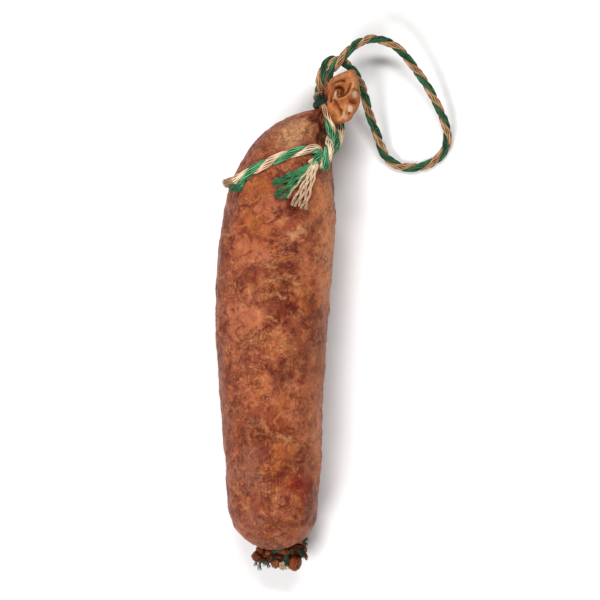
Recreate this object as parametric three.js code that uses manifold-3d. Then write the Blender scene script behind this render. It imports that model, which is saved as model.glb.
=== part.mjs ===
// A garlic sausage in natural casing, lying on its side, hung by a two-coloured twine.
// Millimetres. +Y runs along the sausage to its hanging end, +Z is up, z = 0 is the surface it rests on.
import * as THREE from "three";
import { mergeVertices } from "three/addons/utils/BufferGeometryUtils.js";
import Module from "manifold-3d";

const wasm = await Module();
wasm.setup();

// Sizes of the twine
const TWINE_D = 3.8;
const TWINE_R = TWINE_D / 2;
const TIE_R = 1.6;
const GAP = 0.32;
const TWINE_SIDES = 8;

// Sizes of the sausage mesh
const BODY_SIDES = 48;
const BODY_RINGS = 62;
const FLOOR = 0;

// The body from its hanging end down: [y, left x, right x, top z, bottom z] of each cross-section
const BODY = [
  [109.4, 20.4, 25.0, 36.0, 31.4],
  [107.0, 18.2, 22.6, 33.0, 28.0],
  [104.4, 16.4, 20.2, 29.0, 24.8],
  [101.0, 15.4, 19.4, 28.0, 24.0],
  [97.8, 15.2, 19.4, 28.1, 23.9],
  [96.0, 13.4, 19.0, 29.6, 22.2],
  [94.4, 6.4, 18.6, 31.2, 20.0],
  [92.2, 0.2, 18.3, 33.2, 17.8],
  [88.0, -7.2, 18.5, 36.4, 13.2],
  [82.6, -14.0, 18.9, 39.6, 8.6],
  [77.2, -18.1, 19.3, 42.0, 4.9],
  [69.1, -22.3, 20.3, 44.9, 1.3],
  [60.3, -26.7, 21.1, 46.7, 0.0],
  [50.1, -28.7, 21.4, 47.8, -0.6],
  [30.0, -31.4, 20.4, 48.4, -0.7],
  [9.5, -32.5, 18.6, 48.2, -0.7],
  [-17.6, -32.1, 16.7, 47.8, -0.7],
  [-44.7, -30.2, 15.4, 47.2, -0.7],
  [-71.8, -28.0, 14.4, 45.8, -0.5],
  [-85.3, -26.5, 13.4, 44.0, 0.2],
  [-92.1, -24.5, 11.7, 41.6, 3.0],
  [-98.0, -20.0, 7.2, 37.4, 9.5],
  [-100.4, -16.2, 3.4, 34.2, 14.0],
  [-101.9, -13.1, -0.6, 31.4, 18.5],
  [-103.1, -9.4, -5.0, 28.2, 23.2],
  [-103.5, -7.6, -6.8, 26.6, 25.4],
];

// The folded end of the casing above the tie, in the same form
const NUB = [
  [113.0, 27.8, 29.6, 37.4, 35.6],
  [112.0, 23.6, 30.7, 39.2, 33.4],
  [109.6, 19.6, 31.2, 40.4, 31.0],
  [105.6, 18.4, 31.9, 41.0, 29.8],
  [100.2, 17.9, 32.2, 41.3, 29.2],
  [95.8, 17.6, 31.7, 41.0, 29.6],
  [93.0, 19.4, 29.4, 39.9, 31.0],
  [91.2, 20.2, 27.8, 38.8, 32.4],
  [89.8, 21.6, 25.4, 37.6, 34.2],
  [89.1, 22.8, 23.6, 36.4, 35.6],
];

// Lobes of casing gathered below the lower tie: [x, y, z, half sizes x, y, z, turn about z in degrees]
const LOBES = [
  [-12.0, -106.4, 15.6, 4.4, 3.3, 4.6, 24],
  [-8.6, -109.6, 13.8, 2.8, 2.2, 4.0, -20],
  [-4.6, -109.6, 16.2, 2.9, 2.7, 4.2, 6],
  [2.4, -108.8, 17.6, 4.0, 4.2, 5.0, 0],
  [6.2, -102.4, 17.4, 2.2, 3.4, 3.2, -20],
  [-2.6, -106.4, 15.8, 8.4, 2.5, 4.6, 2],
];
const BOTTOM_NECK = [
  [-92.0, -7.0, 1.2, 21.0, 12.6],
  [-99.0, -6.9, 0.9, 20.2, 12.6],
  [-103.0, -6.4, 0.2, 19.2, 12.8],
  [-105.0, -6.6, 0.4, 19.2, 12.4],
  [-107.6, -6.0, 0.0, 18.6, 13.0],
];

// The two ties
const NECK_TIE = { x: 17.4, y: 99.1, z: 26.0, ring: 4.15, turns: 1.375, pitch: 3.4, start: 120 };
const BOTTOM_TIE = { x: -3.1, y: -103.2, z: 16.0, ring: 5.3 };

// Routes of the free twine, as points on its centre line
const LOOP = [
  [14.1, 103.7, 26.6], [14.3, 106.0, 27.2], [14.4, 108.9, 27.6], [15.3, 112.3, 27.6], [16.6, 115.2, 27.2],
  [18.3, 117.2, 26.6], [20.8, 118.1, 26.0], [23.0, 117.8, 25.4], [25.6, 116.6, 24.8], [27.8, 114.8, 24.0],
  [31.0, 110.9, 21.6], [34.0, 104.3, 17.4], [36.7, 94.6, 12.6], [40.5, 84.6, 7.8], [44.2, 75.3, 4.2],
  [50.5, 70.6, 2.2], [57.9, 69.9, 2.0], [65.0, 71.9, 2.1], [70.2, 76.1, 3.0], [72.4, 81.5, 4.4],
  [72.0, 87.8, 6.0], [65.7, 102.6, 9.4], [56.8, 115.8, 13.0], [48.8, 124.4, 16.2], [39.4, 127.7, 20.0],
  [32.3, 125.8, 25.0], [28.4, 122.9, 28.0], [25.6, 120.0, 29.6], [22.8, 116.9, 29.6], [21.5, 115.3, 28.6],
  [20.2, 113.7, 26.4], [18.7, 111.5, 24.4], [17.7, 108.9, 22.6], [17.6, 105.8, 21.4], [17.8, 103.8, 20.6],
];
const TAIL_LEFT = [
  [17.8, 94.1, 32.6], [18.5, 90.6, 33.1], [19.2, 86.3, 34.3], [19.3, 83.4, 36.2], [19.0, 80.7, 39.7],
  [18.7, 79.0, 42.9], [18.2, 76.4, 46.5], [17.5, 72.9, 47.4], [16.7, 69.7, 45.2], [15.1, 70.0, 40.9],
  [14.6, 73.7, 39.4], [12.9, 77.1, 40.9], [9.8, 77.1, 42.4], [5.8, 76.2, 44.0], [2.4, 75.3, 45.0],
  [-1.8, 74.0, 45.6], [-5.2, 72.6, 45.6], [-8.4, 71.2, 45.2], [-12.4, 69.3, 44.3], [-15.4, 67.7, 43.2],
  [-19.0, 65.7, 41.5], [-21.7, 64.2, 39.8], [-25.0, 62.3, 37.4], [-27.6, 60.9, 35.4],
];
const TAIL_FRAYED = [
  [22.9, 90.8, 27.0], [23.4, 88.1, 27.7], [23.5, 86.4, 28.2], [23.3, 84.0, 29.3], [23.0, 82.6, 30.2],
  [22.3, 80.7, 31.9], [21.7, 79.6, 33.1], [20.8, 78.1, 35.1], [20.1, 77.3, 36.5], [19.2, 76.2, 38.8],
  [18.6, 75.5, 40.4], [17.4, 74.5, 42.6], [16.1, 73.9, 43.4], [13.9, 73.1, 44.4], [12.6, 71.9, 44.9],
  [10.8, 69.7, 45.2],
];

// Yarn ends of the frayed tail: [start x, y, z, tip x, y, z]
const FRAY_GREEN = [
  [9.0, 70.4, 45.9, -7.7, 62.2, 49.4],
  [8.6, 69.4, 45.9, -6.6, 58.4, 49.6],
  [8.4, 68.6, 45.9, -4.0, 55.8, 49.6],
];
const FRAY_NATURAL = [
  [11.0, 66.2, 45.6, 1.2, 51.6, 49.2],
  [11.6, 66.2, 45.4, 4.0, 50.8, 49.0],
  [12.4, 66.4, 45.2, 7.0, 50.2, 48.4],
];

const CASING = new THREE.MeshStandardMaterial({ color: 0x9a5536, roughness: 0.45 });
const TWINE = new THREE.MeshStandardMaterial({ color: 0x66744c, roughness: 0.95 });
const GREEN_YARN = new THREE.MeshStandardMaterial({ color: 0x1f7346, roughness: 0.95 });
const NATURAL_YARN = new THREE.MeshStandardMaterial({ color: 0xc6a585, roughness: 0.95 });

// Cubic through the rows of a table, at y, with no overshoot between rows
function row_at(table, y) {
  const n = table.length;
  let k = 0;
  while (k < n - 2 && y < table[k + 1][0]) k += 1;
  const slope = (i, c) => (table[i + 1][c] - table[i][c]) / (table[i + 1][0] - table[i][0]);
  const tangent = (i, c) => {
    if (i === 0) return slope(0, c);
    if (i === n - 1) return slope(n - 2, c);
    const a = slope(i - 1, c);
    const b = slope(i, c);
    return a * b <= 0 ? 0 : (2 * a * b) / (a + b);
  };
  const step = table[k + 1][0] - table[k][0];
  const t = (y - table[k][0]) / step;
  const h00 = (1 + 2 * t) * (1 - t) ** 2;
  const h10 = t * (1 - t) ** 2;
  const h01 = t * t * (3 - 2 * t);
  const h11 = t * t * (t - 1);
  return [1, 2, 3, 4].map(
    (c) => h00 * table[k][c] + h10 * step * tangent(k, c) + h01 * table[k + 1][c] + h11 * step * tangent(k + 1, c),
  );
}

// Ring heights that crowd towards both ends of a table
function ring_heights(table, rings, crowd) {
  const top = table[0][0];
  const bottom = table[table.length - 1][0];
  const heights = [];
  for (let i = 0; i < rings; i += 1) {
    const t = i / (rings - 1);
    const eased = 0.5 - 0.5 * Math.cos(Math.PI * t);
    heights.push(top + (bottom - top) * (crowd * eased + (1 - crowd) * t));
  }
  return heights;
}

// Closed solid through elliptical rings, each in a plane of constant y
function loft(table, sides, heights, relief) {
  const position = [];
  const index = [];
  for (const y of heights) {
    const [left, right, top, bottom] = row_at(table, y);
    for (let j = 0; j < sides; j += 1) {
      const a = (2 * Math.PI * j) / sides;
      const rx = (right - left) / 2;
      const rz = (top - bottom) / 2;
      const swell = relief ? relief(a, y, Math.min(rx, rz)) : 0;
      const x = (left + right) / 2 + (rx + swell) * Math.cos(a);
      const z = (top + bottom) / 2 + (rz + swell) * Math.sin(a);
      position.push(x, y, Math.max(z, FLOOR));
    }
  }
  for (let i = 0; i + 1 < heights.length; i += 1) {
    for (let j = 0; j < sides; j += 1) {
      const a = i * sides + j;
      const b = i * sides + ((j + 1) % sides);
      index.push(a, a + sides, b, b, a + sides, b + sides);
    }
  }
  const last = (heights.length - 1) * sides;
  for (let j = 1; j + 1 < sides; j += 1) {
    index.push(0, j, j + 1);
    index.push(last, last + j + 1, last + j);
  }
  return solid_of(position, index);
}

function solid_of(position, index) {
  const geometry = new THREE.BufferGeometry();
  geometry.setAttribute("position", new THREE.Float32BufferAttribute(position, 3));
  geometry.setIndex(index);
  return solid(geometry);
}

// A closed three.js geometry as a manifold solid that faces out
function solid(source) {
  const bare = source.clone();
  bare.deleteAttribute("normal");
  bare.deleteAttribute("uv");
  const merged = mergeVertices(bare, 1e-4);
  const triVerts = Uint32Array.from(merged.index.array);
  const at = merged.attributes.position;
  const vertProperties = Float32Array.from(at.array);
  let volume = 0;
  const [a, b, c] = [new THREE.Vector3(), new THREE.Vector3(), new THREE.Vector3()];
  for (let i = 0; i < triVerts.length; i += 3) {
    a.fromBufferAttribute(at, triVerts[i]);
    b.fromBufferAttribute(at, triVerts[i + 1]);
    c.fromBufferAttribute(at, triVerts[i + 2]);
    volume += a.dot(b.cross(c));
  }
  if (volume < 0) {
    for (let i = 0; i < triVerts.length; i += 3) {
      [triVerts[i + 1], triVerts[i + 2]] = [triVerts[i + 2], triVerts[i + 1]];
    }
  }
  return new wasm.Manifold(new wasm.Mesh({ numProp: 3, vertProperties, triVerts }));
}

function mesh(name, shape, material) {
  const { vertProperties, triVerts } = shape.getMesh();
  const geometry = new THREE.BufferGeometry();
  geometry.setAttribute("position", new THREE.BufferAttribute(Float32Array.from(vertProperties), 3));
  geometry.setIndex(new THREE.BufferAttribute(Uint32Array.from(triVerts), 1));
  geometry.computeVertexNormals();
  const made = new THREE.Mesh(geometry, material);
  made.name = name;
  return made;
}

// Plain round tube along a smooth curve through points
function tube(points, radius, steps, sides = TWINE_SIDES) {
  const curve = new THREE.CatmullRomCurve3(points.map((p) => new THREE.Vector3(...p)), false, "centripetal");
  const section = new THREE.Shape();
  for (let j = 0; j < sides; j += 1) {
    const a = (2 * Math.PI * j) / sides;
    const [u, v] = [radius * Math.cos(a), radius * Math.sin(a)];
    if (j === 0) section.moveTo(u, v);
    else section.lineTo(u, v);
  }
  section.closePath();
  return solid(new THREE.ExtrudeGeometry(section, { steps, extrudePath: curve, bevelEnabled: false }));
}

// The same points with both ends drawn out a little
function longer(points, by) {
  const from = (a, b) => {
    const [p, q] = [new THREE.Vector3(...a), new THREE.Vector3(...b)];
    return q.clone().add(q.clone().sub(p).setLength(by)).toArray();
  };
  const n = points.length;
  return [from(points[1], points[0]), ...points, from(points[n - 2], points[n - 1])];
}

// Turns of twine wound round a neck that runs along y
function wound(tie, radius, extra = 0) {
  const points = [];
  const parts = Math.round(tie.turns * 16);
  for (let i = 0; i <= parts; i += 1) {
    const a = THREE.MathUtils.degToRad(tie.start) + (2 * Math.PI * i) / 16;
    const y = tie.y + tie.pitch * (tie.turns / 2 - i / 16);
    points.push([tie.x + tie.ring * Math.cos(a), y, tie.z + tie.ring * Math.sin(a)]);
  }
  return tube(extra ? longer(points, extra) : points, radius, parts + (extra ? 2 : 0));
}

function ring(tie, radius, sides = TWINE_SIDES) {
  const torus = new THREE.TorusGeometry(tie.ring, radius, sides, 24);
  torus.rotateX(Math.PI / 2);
  torus.translate(tie.x, tie.y, tie.z);
  return solid(torus);
}

function lobe([x, y, z, rx, ry, rz, turn], wide = 12, high = 8) {
  const ball = new THREE.SphereGeometry(1, wide, high);
  ball.scale(rx, ry, rz);
  ball.rotateZ(THREE.MathUtils.degToRad(turn));
  ball.translate(x, y, z);
  return solid(ball);
}

// A yarn end, thinner towards its tip
function yarn([x0, y0, z0, x1, y1, z1], radius) {
  const from = new THREE.Vector3(x0, y0, z0);
  const to = new THREE.Vector3(x1, y1, z1);
  const along = to.clone().sub(from);
  const rod = new THREE.CylinderGeometry(radius * 0.62, radius, along.length(), 6, 3);
  const at = rod.attributes.position;
  for (let i = 0; i < at.count; i += 1) {
    const t = at.getY(i) / along.length();
    at.setZ(i, at.getZ(i) + 1.2 * (0.25 - t * t));
  }
  rod.applyQuaternion(new THREE.Quaternion().setFromUnitVectors(new THREE.Vector3(0, 1, 0), along.normalize()));
  rod.translate((x0 + x1) / 2, (y0 + y1) / 2, (z0 + z1) / 2);
  return solid(rod);
}

// Low swells along the body, and pleats that run into the necks at both ends
function body_relief(a, y, size) {
  const fade = Math.min(1, Math.max(0, (96 - y) / 30)) * Math.min(1, Math.max(0, (y + 104) / 24));
  const swell = 0.28 * Math.sin(3 * a + 0.071 * y) * Math.sin(0.105 * y + 1) + 0.22 * Math.sin(2 * a - 0.047 * y + 2);
  const upper = Math.exp(-(((y - 93) / 5) ** 2));
  const lower = Math.exp(-(((y + 103) / 4) ** 2));
  const pleats = 0.07 * Math.min(size, 6) * Math.cos(9 * a + 0.6) * (upper + 0.7 * lower);
  return fade * swell + pleats;
}

// Folds that run round the curled end
function nub_relief(a, y, size) {
  return 0.06 * size * Math.cos(5 * a + 0.35 * (y - 100)) - 0.03 * size * Math.cos(8 * a - 0.5 * (y - 100));
}

// The crease of the fold and its two small hollows, cut from the top of the nub
function nub_creases() {
  const crease = [[19.4, 107.2, 40.8], [21.6, 109.0, 41.4], [24.6, 107.8, 41.9], [25.2, 104.0, 42.1],
    [23.4, 101.0, 42.1], [23.6, 97.6, 41.7], [24.4, 94.2, 40.4]];
  const curl = lobe([22.0, 105.4, 41.6, 2.0, 1.5, 2.4, 20]);
  const hole = lobe([24.0, 95.2, 40.8, 1.1, 0.8, 1.8, 0], 10, 8);
  return tube(crease, 0.8, 18, 6).add(curl).add(hole);
}

// Cut ends of the lower tie: the twine leaves the ring on both sides
const BOTTOM_ENDS = [
  [[-6.6, -106.0, 19.6], [-10.6, -109.0, 20.2], [-13.0, -111.4, 19.4]],
  [[0.8, -106.6, 20.6], [-0.6, -108.6, 23.2], [0.2, -110.6, 24.2]],
  [[1.6, -102.9, 18.6], [5.2, -101.6, 20.4], [8.2, -98.8, 20.2]],
];

function bottom_tie(radius, extra = 0) {
  let tied = ring(BOTTOM_TIE, radius);
  for (const end of BOTTOM_ENDS) {
    const start = [BOTTOM_TIE.x + (end[0][0] - BOTTOM_TIE.x) * 0.8, BOTTOM_TIE.y, end[0][2] - 0.4];
    const route = [start, ...end];
    tied = tied.add(tube(extra ? longer(route, extra) : route, radius - 0.16, extra ? 10 : 8));
  }
  return tied;
}

function sausage() {
  let body = loft(BODY, BODY_SIDES, ring_heights(BODY, BODY_RINGS, 0.86), body_relief);
  const nub = loft(NUB, 26, ring_heights(NUB, 16, 0.5), nub_relief).subtract(nub_creases());
  body = body.add(nub);
  body = body.add(loft(BOTTOM_NECK, 16, ring_heights(BOTTOM_NECK, 6, 0)));
  for (const one of LOBES) body = body.add(lobe(one));
  const clear = GAP + 0.05;
  body = body.subtract(wound(NECK_TIE, TIE_R + clear, clear));
  body = body.subtract(bottom_tie(TIE_R + clear, clear));
  body = body.subtract(tube(longer(TAIL_LEFT, clear), TWINE_R + clear, 40));
  body = body.subtract(tube(longer(TAIL_FRAYED, clear), TWINE_R + clear, 15));
  body = body.subtract(tube(longer(LOOP, clear), TWINE_R + clear, 44));
  return body;
}

function fray(yarns, radius) {
  return yarns.map((one) => yarn(one, radius)).reduce((all, one) => all.add(one));
}

const part = new THREE.Group();
part.name = "garlic_sausage";
part.add(mesh("sausage", sausage(), CASING));
part.add(mesh("neck_tie", wound(NECK_TIE, TIE_R), TWINE));
part.add(mesh("bottom_tie", bottom_tie(TIE_R), GREEN_YARN));
part.add(mesh("twine_loop", tube(LOOP, TWINE_R, 44), TWINE));
part.add(mesh("tail_left", tube(TAIL_LEFT, TWINE_R, 40), TWINE));
part.add(mesh("tail_frayed", tube(TAIL_FRAYED, TWINE_R, 14), TWINE));
part.add(mesh("fray_green", fray(FRAY_GREEN, 1.15), GREEN_YARN));
part.add(mesh("fray_natural", fray(FRAY_NATURAL, 1.0), NATURAL_YARN));

export default part;
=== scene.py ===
# %% [markdown]
# # A garlic sausage on its twine
#
# A dry, smoked sausage in a natural casing. One end is tied with a two-colour
# twine whose loop hangs the sausage up, and a folded nub of casing stands out
# above that tie. The other end is gathered and tied again.
#
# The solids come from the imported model. This script dresses them: it makes the
# twine out of its yarns, the casing with its dents and creases, and the finish
# of each. All tables are in millimetres and the scene is in metres.

import math

import bpy
import numpy as np
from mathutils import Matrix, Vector, noise


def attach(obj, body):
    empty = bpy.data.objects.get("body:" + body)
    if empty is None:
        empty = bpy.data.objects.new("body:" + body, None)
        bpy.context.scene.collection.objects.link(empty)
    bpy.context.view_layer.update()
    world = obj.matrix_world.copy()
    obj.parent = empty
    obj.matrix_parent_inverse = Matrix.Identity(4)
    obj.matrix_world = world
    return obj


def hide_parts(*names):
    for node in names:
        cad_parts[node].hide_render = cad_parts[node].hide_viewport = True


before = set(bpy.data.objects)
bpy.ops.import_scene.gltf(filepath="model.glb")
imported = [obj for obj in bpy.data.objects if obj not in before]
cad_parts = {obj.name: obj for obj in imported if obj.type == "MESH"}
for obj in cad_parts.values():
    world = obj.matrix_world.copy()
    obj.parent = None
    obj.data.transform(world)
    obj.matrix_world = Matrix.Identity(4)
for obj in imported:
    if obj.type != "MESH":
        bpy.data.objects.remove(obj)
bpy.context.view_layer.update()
MM = 0.001
scene = bpy.context.scene
print("solids:", ", ".join(sorted(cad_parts)))

# %% [markdown]
# ## Camera
#
# The sausage was photographed from straight above with a long lens, so its
# sides hardly show. A camera looks along its own -Z with +Y up in the picture,
# so a camera that isn't turned at all looks straight down.

# %% Camera
EYE = (5.4, 9.5, 2200.0)
LENS = 289.0

camera_data = bpy.data.cameras.new("overhead")
camera_data.lens = LENS
camera_data.sensor_width = 36.0
camera = bpy.data.objects.new("overhead", camera_data)
camera.location = Vector(EYE) * MM
scene.collection.objects.link(camera)
scene.camera = camera
print("camera at", tuple(round(v, 4) for v in camera.location), "m")

# %% [markdown]
# ## Floor and light
#
# A white table and soft studio lights. The key is a long box light beyond the
# hanging end: it is wide from left to right and narrow the other way, so the
# top of the loop throws a crisp shadow and the sides of the sausage a soft one.
# A broad fill stands at the lower left, and the room adds a little from all
# round. Area lights are used, since the size of a lamp sets how soft the edge
# of a shadow is.

# %% Floor and lights
LIGHT_AIM = (10.0, 10.0, 20.0)
# Each box light: its place, width and height in millimetres, and its watts.
BOX_LIGHTS = {
    "key": ((20.0, 560.0, 1000.0), 700.0, 160.0, 8.6),
    "fill": ((-460.0, -520.0, 950.0), 560.0, 420.0, 11.5),
}
ROOM_COLOUR, ROOM_STRENGTH = (1.0, 0.99, 0.98, 1.0), 0.24
# In metres. The table lies a hair lower than the sausage, so the two share no plane.
TABLE_HALF, TABLE_TOP = 1.6, -0.00005
TABLE_WHITE = (0.93, 0.93, 0.93, 1.0)

scene.view_settings.view_transform = "Standard"


def softbox(name, at, wide, high, power):
    """A box light at a place in millimetres, turned to the sausage."""
    data = bpy.data.lights.new(name, "AREA")
    data.shape = "RECTANGLE"
    data.size, data.size_y = wide * MM, high * MM
    data.energy = power
    lamp = bpy.data.objects.new(name, data)
    lamp.location = Vector(at) * MM
    towards = Vector(LIGHT_AIM) - Vector(at)
    lamp.rotation_euler = towards.to_track_quat("-Z", "Y").to_euler()
    scene.collection.objects.link(lamp)


for light, values in BOX_LIGHTS.items():
    softbox(light, *values)

world = bpy.data.worlds.new("studio")
scene.world = world
world.use_nodes = True
room = world.node_tree.nodes["Background"]
room.inputs["Color"].default_value = ROOM_COLOUR
room.inputs["Strength"].default_value = ROOM_STRENGTH

floor_mesh = bpy.data.meshes.new("table")
corners = [(x * TABLE_HALF, y * TABLE_HALF, TABLE_TOP) for x, y in ((-1, -1), (1, -1), (1, 1), (-1, 1))]
floor_mesh.from_pydata(corners, [], [(0, 1, 2, 3)])
floor = bpy.data.objects.new("table", floor_mesh)
scene.collection.objects.link(floor)
floor_finish = bpy.data.materials.new("white_table")
floor_finish.use_nodes = True
floor_shader = floor_finish.node_tree.nodes["Principled BSDF"]
floor_shader.inputs["Base Color"].default_value = TABLE_WHITE
floor_shader.inputs["Roughness"].default_value = 0.9
floor_shader.inputs["Specular IOR Level"].default_value = 0.0
floor_mesh.materials.append(floor_finish)

# %% [markdown]
# ## Writing nodes as sums
#
# Node trees are easier to read as expressions. `Term` stands for one output of
# a node. Adding or multiplying two of them adds the Math node that does it, or
# the Vector Math node where one side is a vector. `Maker` adds any other node
# from its type, its settings and what goes into its sockets.

# %% Node helpers


class Term:
    """One output socket, with arithmetic."""

    def __init__(self, maker, socket):
        self.maker, self.socket = maker, socket

    def __add__(self, other):
        return self.maker.maths("ADD", self, other)

    def __radd__(self, other):
        return self.maker.maths("ADD", other, self)

    def __sub__(self, other):
        return self.maker.maths("SUBTRACT", self, other)

    def __rsub__(self, other):
        return self.maker.maths("SUBTRACT", other, self)

    def __mul__(self, other):
        return self.maker.maths("MULTIPLY", self, other)

    def __rmul__(self, other):
        return self.maker.maths("MULTIPLY", other, self)

    def __truediv__(self, other):
        return self.maker.maths("DIVIDE", self, other)

    def __rtruediv__(self, other):
        return self.maker.maths("DIVIDE", other, self)

    def output(self, index):
        """Another output of the same node."""
        return Term(self.maker, self.socket.node.outputs[index])


class Maker:
    """Adds nodes to one tree."""

    def __init__(self, tree):
        self.tree = tree

    def add(self, kind, sockets=None, out=0, **settings):
        """One node: its settings first, then the values or links of its sockets."""
        node = self.tree.nodes.new(kind)
        for name, value in settings.items():
            setattr(node, name, value)
        for key, value in (sockets or {}).items():
            if isinstance(value, Term):
                self.tree.links.new(value.socket, node.inputs[key])
            else:
                node.inputs[key].default_value = value
        return Term(self, node.outputs[out])

    def maths(self, operation, a, b=0.0):
        """A Math node, or a Vector Math node where one side is a vector."""
        sides = [t for t in (a, b) if isinstance(t, Term) and t.socket.type == "VECTOR"]
        if not sides:
            return self.add("ShaderNodeMath", {0: a, 1: b}, operation=operation)
        if len(sides) == 1 and operation == "MULTIPLY":
            vector, number = (a, b) if sides[0] is a else (b, a)
            if not isinstance(number, (tuple, Vector)):
                return self.add("ShaderNodeVectorMath", {0: vector, 3: number}, operation="SCALE")
        return self.add("ShaderNodeVectorMath", {0: a, 1: b}, operation=operation)

    def vector(self, x, y, z):
        """A vector out of three numbers or terms."""
        return self.add("ShaderNodeCombineXYZ", {0: x, 1: y, 2: z})

    def smooth(self, value, low, high, to_low=0.0, to_high=1.0):
        """A soft step from to_low at low to to_high at high."""
        sockets = {0: value, 1: low, 2: high, 3: to_low, 4: to_high}
        return self.add("ShaderNodeMapRange", sockets, interpolation_type="SMOOTHSTEP")

    def mix(self, factor, a, b):
        """Colour a going to colour b."""
        return self.add("ShaderNodeMix", {0: factor, 6: a, 7: b}, 2, data_type="RGBA")

    def grain(self, place, size, detail=3.0, rough=0.55, bend=0.0):
        """Noise from 0 to 1 whose blobs are about size millimetres across."""
        sockets = {"Vector": place, "Scale": 1.0 / (size * MM), "Detail": detail, "Roughness": rough}
        sockets["Distortion"] = bend
        return self.add("ShaderNodeTexNoise", sockets)


def colour(red, green, blue):
    """A linear colour from the 0 to 255 values a picture shows."""
    return tuple(((v / 255 + 0.055) / 1.055) ** 2.4 for v in (red, green, blue)) + (1.0,)


def finish(name, **fixed):
    """A new material: its maker, its object coordinates and its shader node."""
    material = bpy.data.materials.new(name)
    material.use_nodes = True
    maker = Maker(material.node_tree)
    shader = material.node_tree.nodes["Principled BSDF"]
    for socket, value in fixed.items():
        shader.inputs[socket.replace("_", " ")].default_value = value
    place = maker.add("ShaderNodeTexCoord", out=3)
    return material, maker, place, shader


def plug(maker, shader, **sockets):
    """Links terms to the shader's sockets."""
    for socket, term in sockets.items():
        maker.tree.links.new(term.socket, shader.inputs[socket.replace("_", " ")])


print("node helpers ready")

# %% [markdown]
# ## The twine's yarns
#
# Butcher's twine in two colours: one strand of green yarns and one of natural
# yarns. A yarn is a bundle of fibres, so its finish follows the yarn and not
# the room: the node trees below store on each yarn a `fibre` vector that runs
# round and along it, and noise stretched along that vector draws the fibres.
# `raised` says how far a point stands out of its strand, so that painted shade
# darkens the furrows between yarns and a painted highlight pales their tops, and
# `tone` makes one yarn paler than the next.
#
# The same twine comes in three shades. The tails are the lightest, and the loop
# and the neck tie are darker and browner. The tie at the gathered end lies in the
# shade under the end of the body and is nearly black with painted shade. All of
# it has painted shade where it comes out of the neck tie, under the nub. A
# painted picture of twine could do this too, but it would slide where the twine
# bends.

# %% Yarn finishes
# The painted shade that the nub throws on the twine at the neck tie: its middle, where it starts to fade
# and where it ends.
TIE_PLACE = Vector((18.0, 97.0, 30.0)) * MM
SHADE_FADES, SHADE_ENDS, TIE_SHADE_DEPTH = 4.0 * MM, 12.0 * MM, -0.3
# A yarn's colour goes from the painted shade of a furrow to its body colour and on to a painted
# highlight over these levels.
BODY_LEVELS, LIGHT_LEVELS = (0.62, 1.1), (1.05, 1.5)
FIBRE_HEIGHT = 0.2 * MM
# Painted furrow shade, body colour and painted top highlight of each finish, as a picture shows them.
YARN_COLOURS = {
    "green_yarn": ((2, 30, 14), (20, 100, 54), (104, 186, 130)),
    "natural_yarn": ((124, 74, 42), (222, 184, 146), (255, 238, 210)),
    # A darker, browner pair of the same yarns, for the loop, the neck tie and the natural end of the
    # long tail.
    "green_darker": ((2, 14, 8), (14, 58, 32), (66, 122, 80)),
    "natural_darker": ((52, 26, 14), (142, 96, 60), (216, 174, 130)),
    # A copy nearly black with painted shade, for twine in the shade under the end of the body.
    "green_painted_shade": ((2, 8, 5), (8, 38, 20), (40, 92, 56)),
    "natural_painted_shade": ((28, 14, 8), (84, 52, 30), (150, 108, 70)),
}


def yarn_finish(name, furrow_shade, body, light):
    """A matt yarn: painted shade in the furrows beside it and a painted highlight along its top."""
    material, make, place, shader = finish(name, Roughness=0.8)
    shader.inputs["Sheen Weight"].default_value = 0.15
    shader.inputs["Sheen Roughness"].default_value = 0.4
    shader.inputs["Specular IOR Level"].default_value = 0.25
    fibre = make.add("ShaderNodeAttribute", out=1, attribute_name="fibre")
    tone = make.add("ShaderNodeAttribute", out=2, attribute_name="tone")
    raised = make.add("ShaderNodeAttribute", out=2, attribute_name="raised")
    sockets = {"Vector": fibre, "Scale": 2.6, "Detail": 3.0, "Roughness": 0.6}
    strands = make.add("ShaderNodeTexNoise", sockets)
    patches = make.grain(place, 2.2, 2.0)
    from_tie = make.add("ShaderNodeVectorMath", {0: place, 1: TIE_PLACE}, 1, operation="DISTANCE")
    tie_shade = make.smooth(from_tie, SHADE_FADES, SHADE_ENDS, TIE_SHADE_DEPTH, 0.0)
    # The neck tie term is painted shade under the nub; the noise and the tone are the yarn's own colour.
    level = raised * 0.6 + strands * 0.9 + tone * 0.3 + patches * 0.3 + tie_shade
    low = make.mix(make.smooth(level, *BODY_LEVELS), furrow_shade, body)
    plug(make, shader, Base_Color=make.mix(make.smooth(level, *LIGHT_LEVELS), low, light))
    bump = make.add("ShaderNodeBump", {"Strength": 1.0, "Distance": FIBRE_HEIGHT, "Height": strands})
    plug(make, shader, Normal=bump)
    return material


YARN = {}
for yarn_name, yarn_shades in YARN_COLOURS.items():
    YARN[yarn_name] = yarn_finish(yarn_name, *(colour(*shade) for shade in yarn_shades))
print("yarn finishes:", list(YARN))

# %% [markdown]
# ## Yarns as tubes along a path
#
# A twine could be one tube with a spiral picture on it, but then its outline
# would be straight. Here each yarn is a thin tube. Geometry Nodes copy the
# path once for each yarn, and Set Position moves a copy off the path: first
# round the twine with its strand, then round the strand. The strand is wider
# than deep, because two strands press each other flat. The yarns turn against
# the strands, which is how real twine is laid, and so they end up nearly in
# line with the twine. Near a cut end the strands spread.

# %% Tree helpers
# How far along a yarn its fibres go once round it, and how stretched they are.
FIBRE_TURN, FIBRE_STRETCH = 4.2 * MM, 0.12
# How quickly a yarn and the whole twine drift, in noise units for each metre.
YARN_DRIFT, TWINE_DRIFT = 420.0, 130.0
TWINE_TUBE_SIDES = 6


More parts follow.
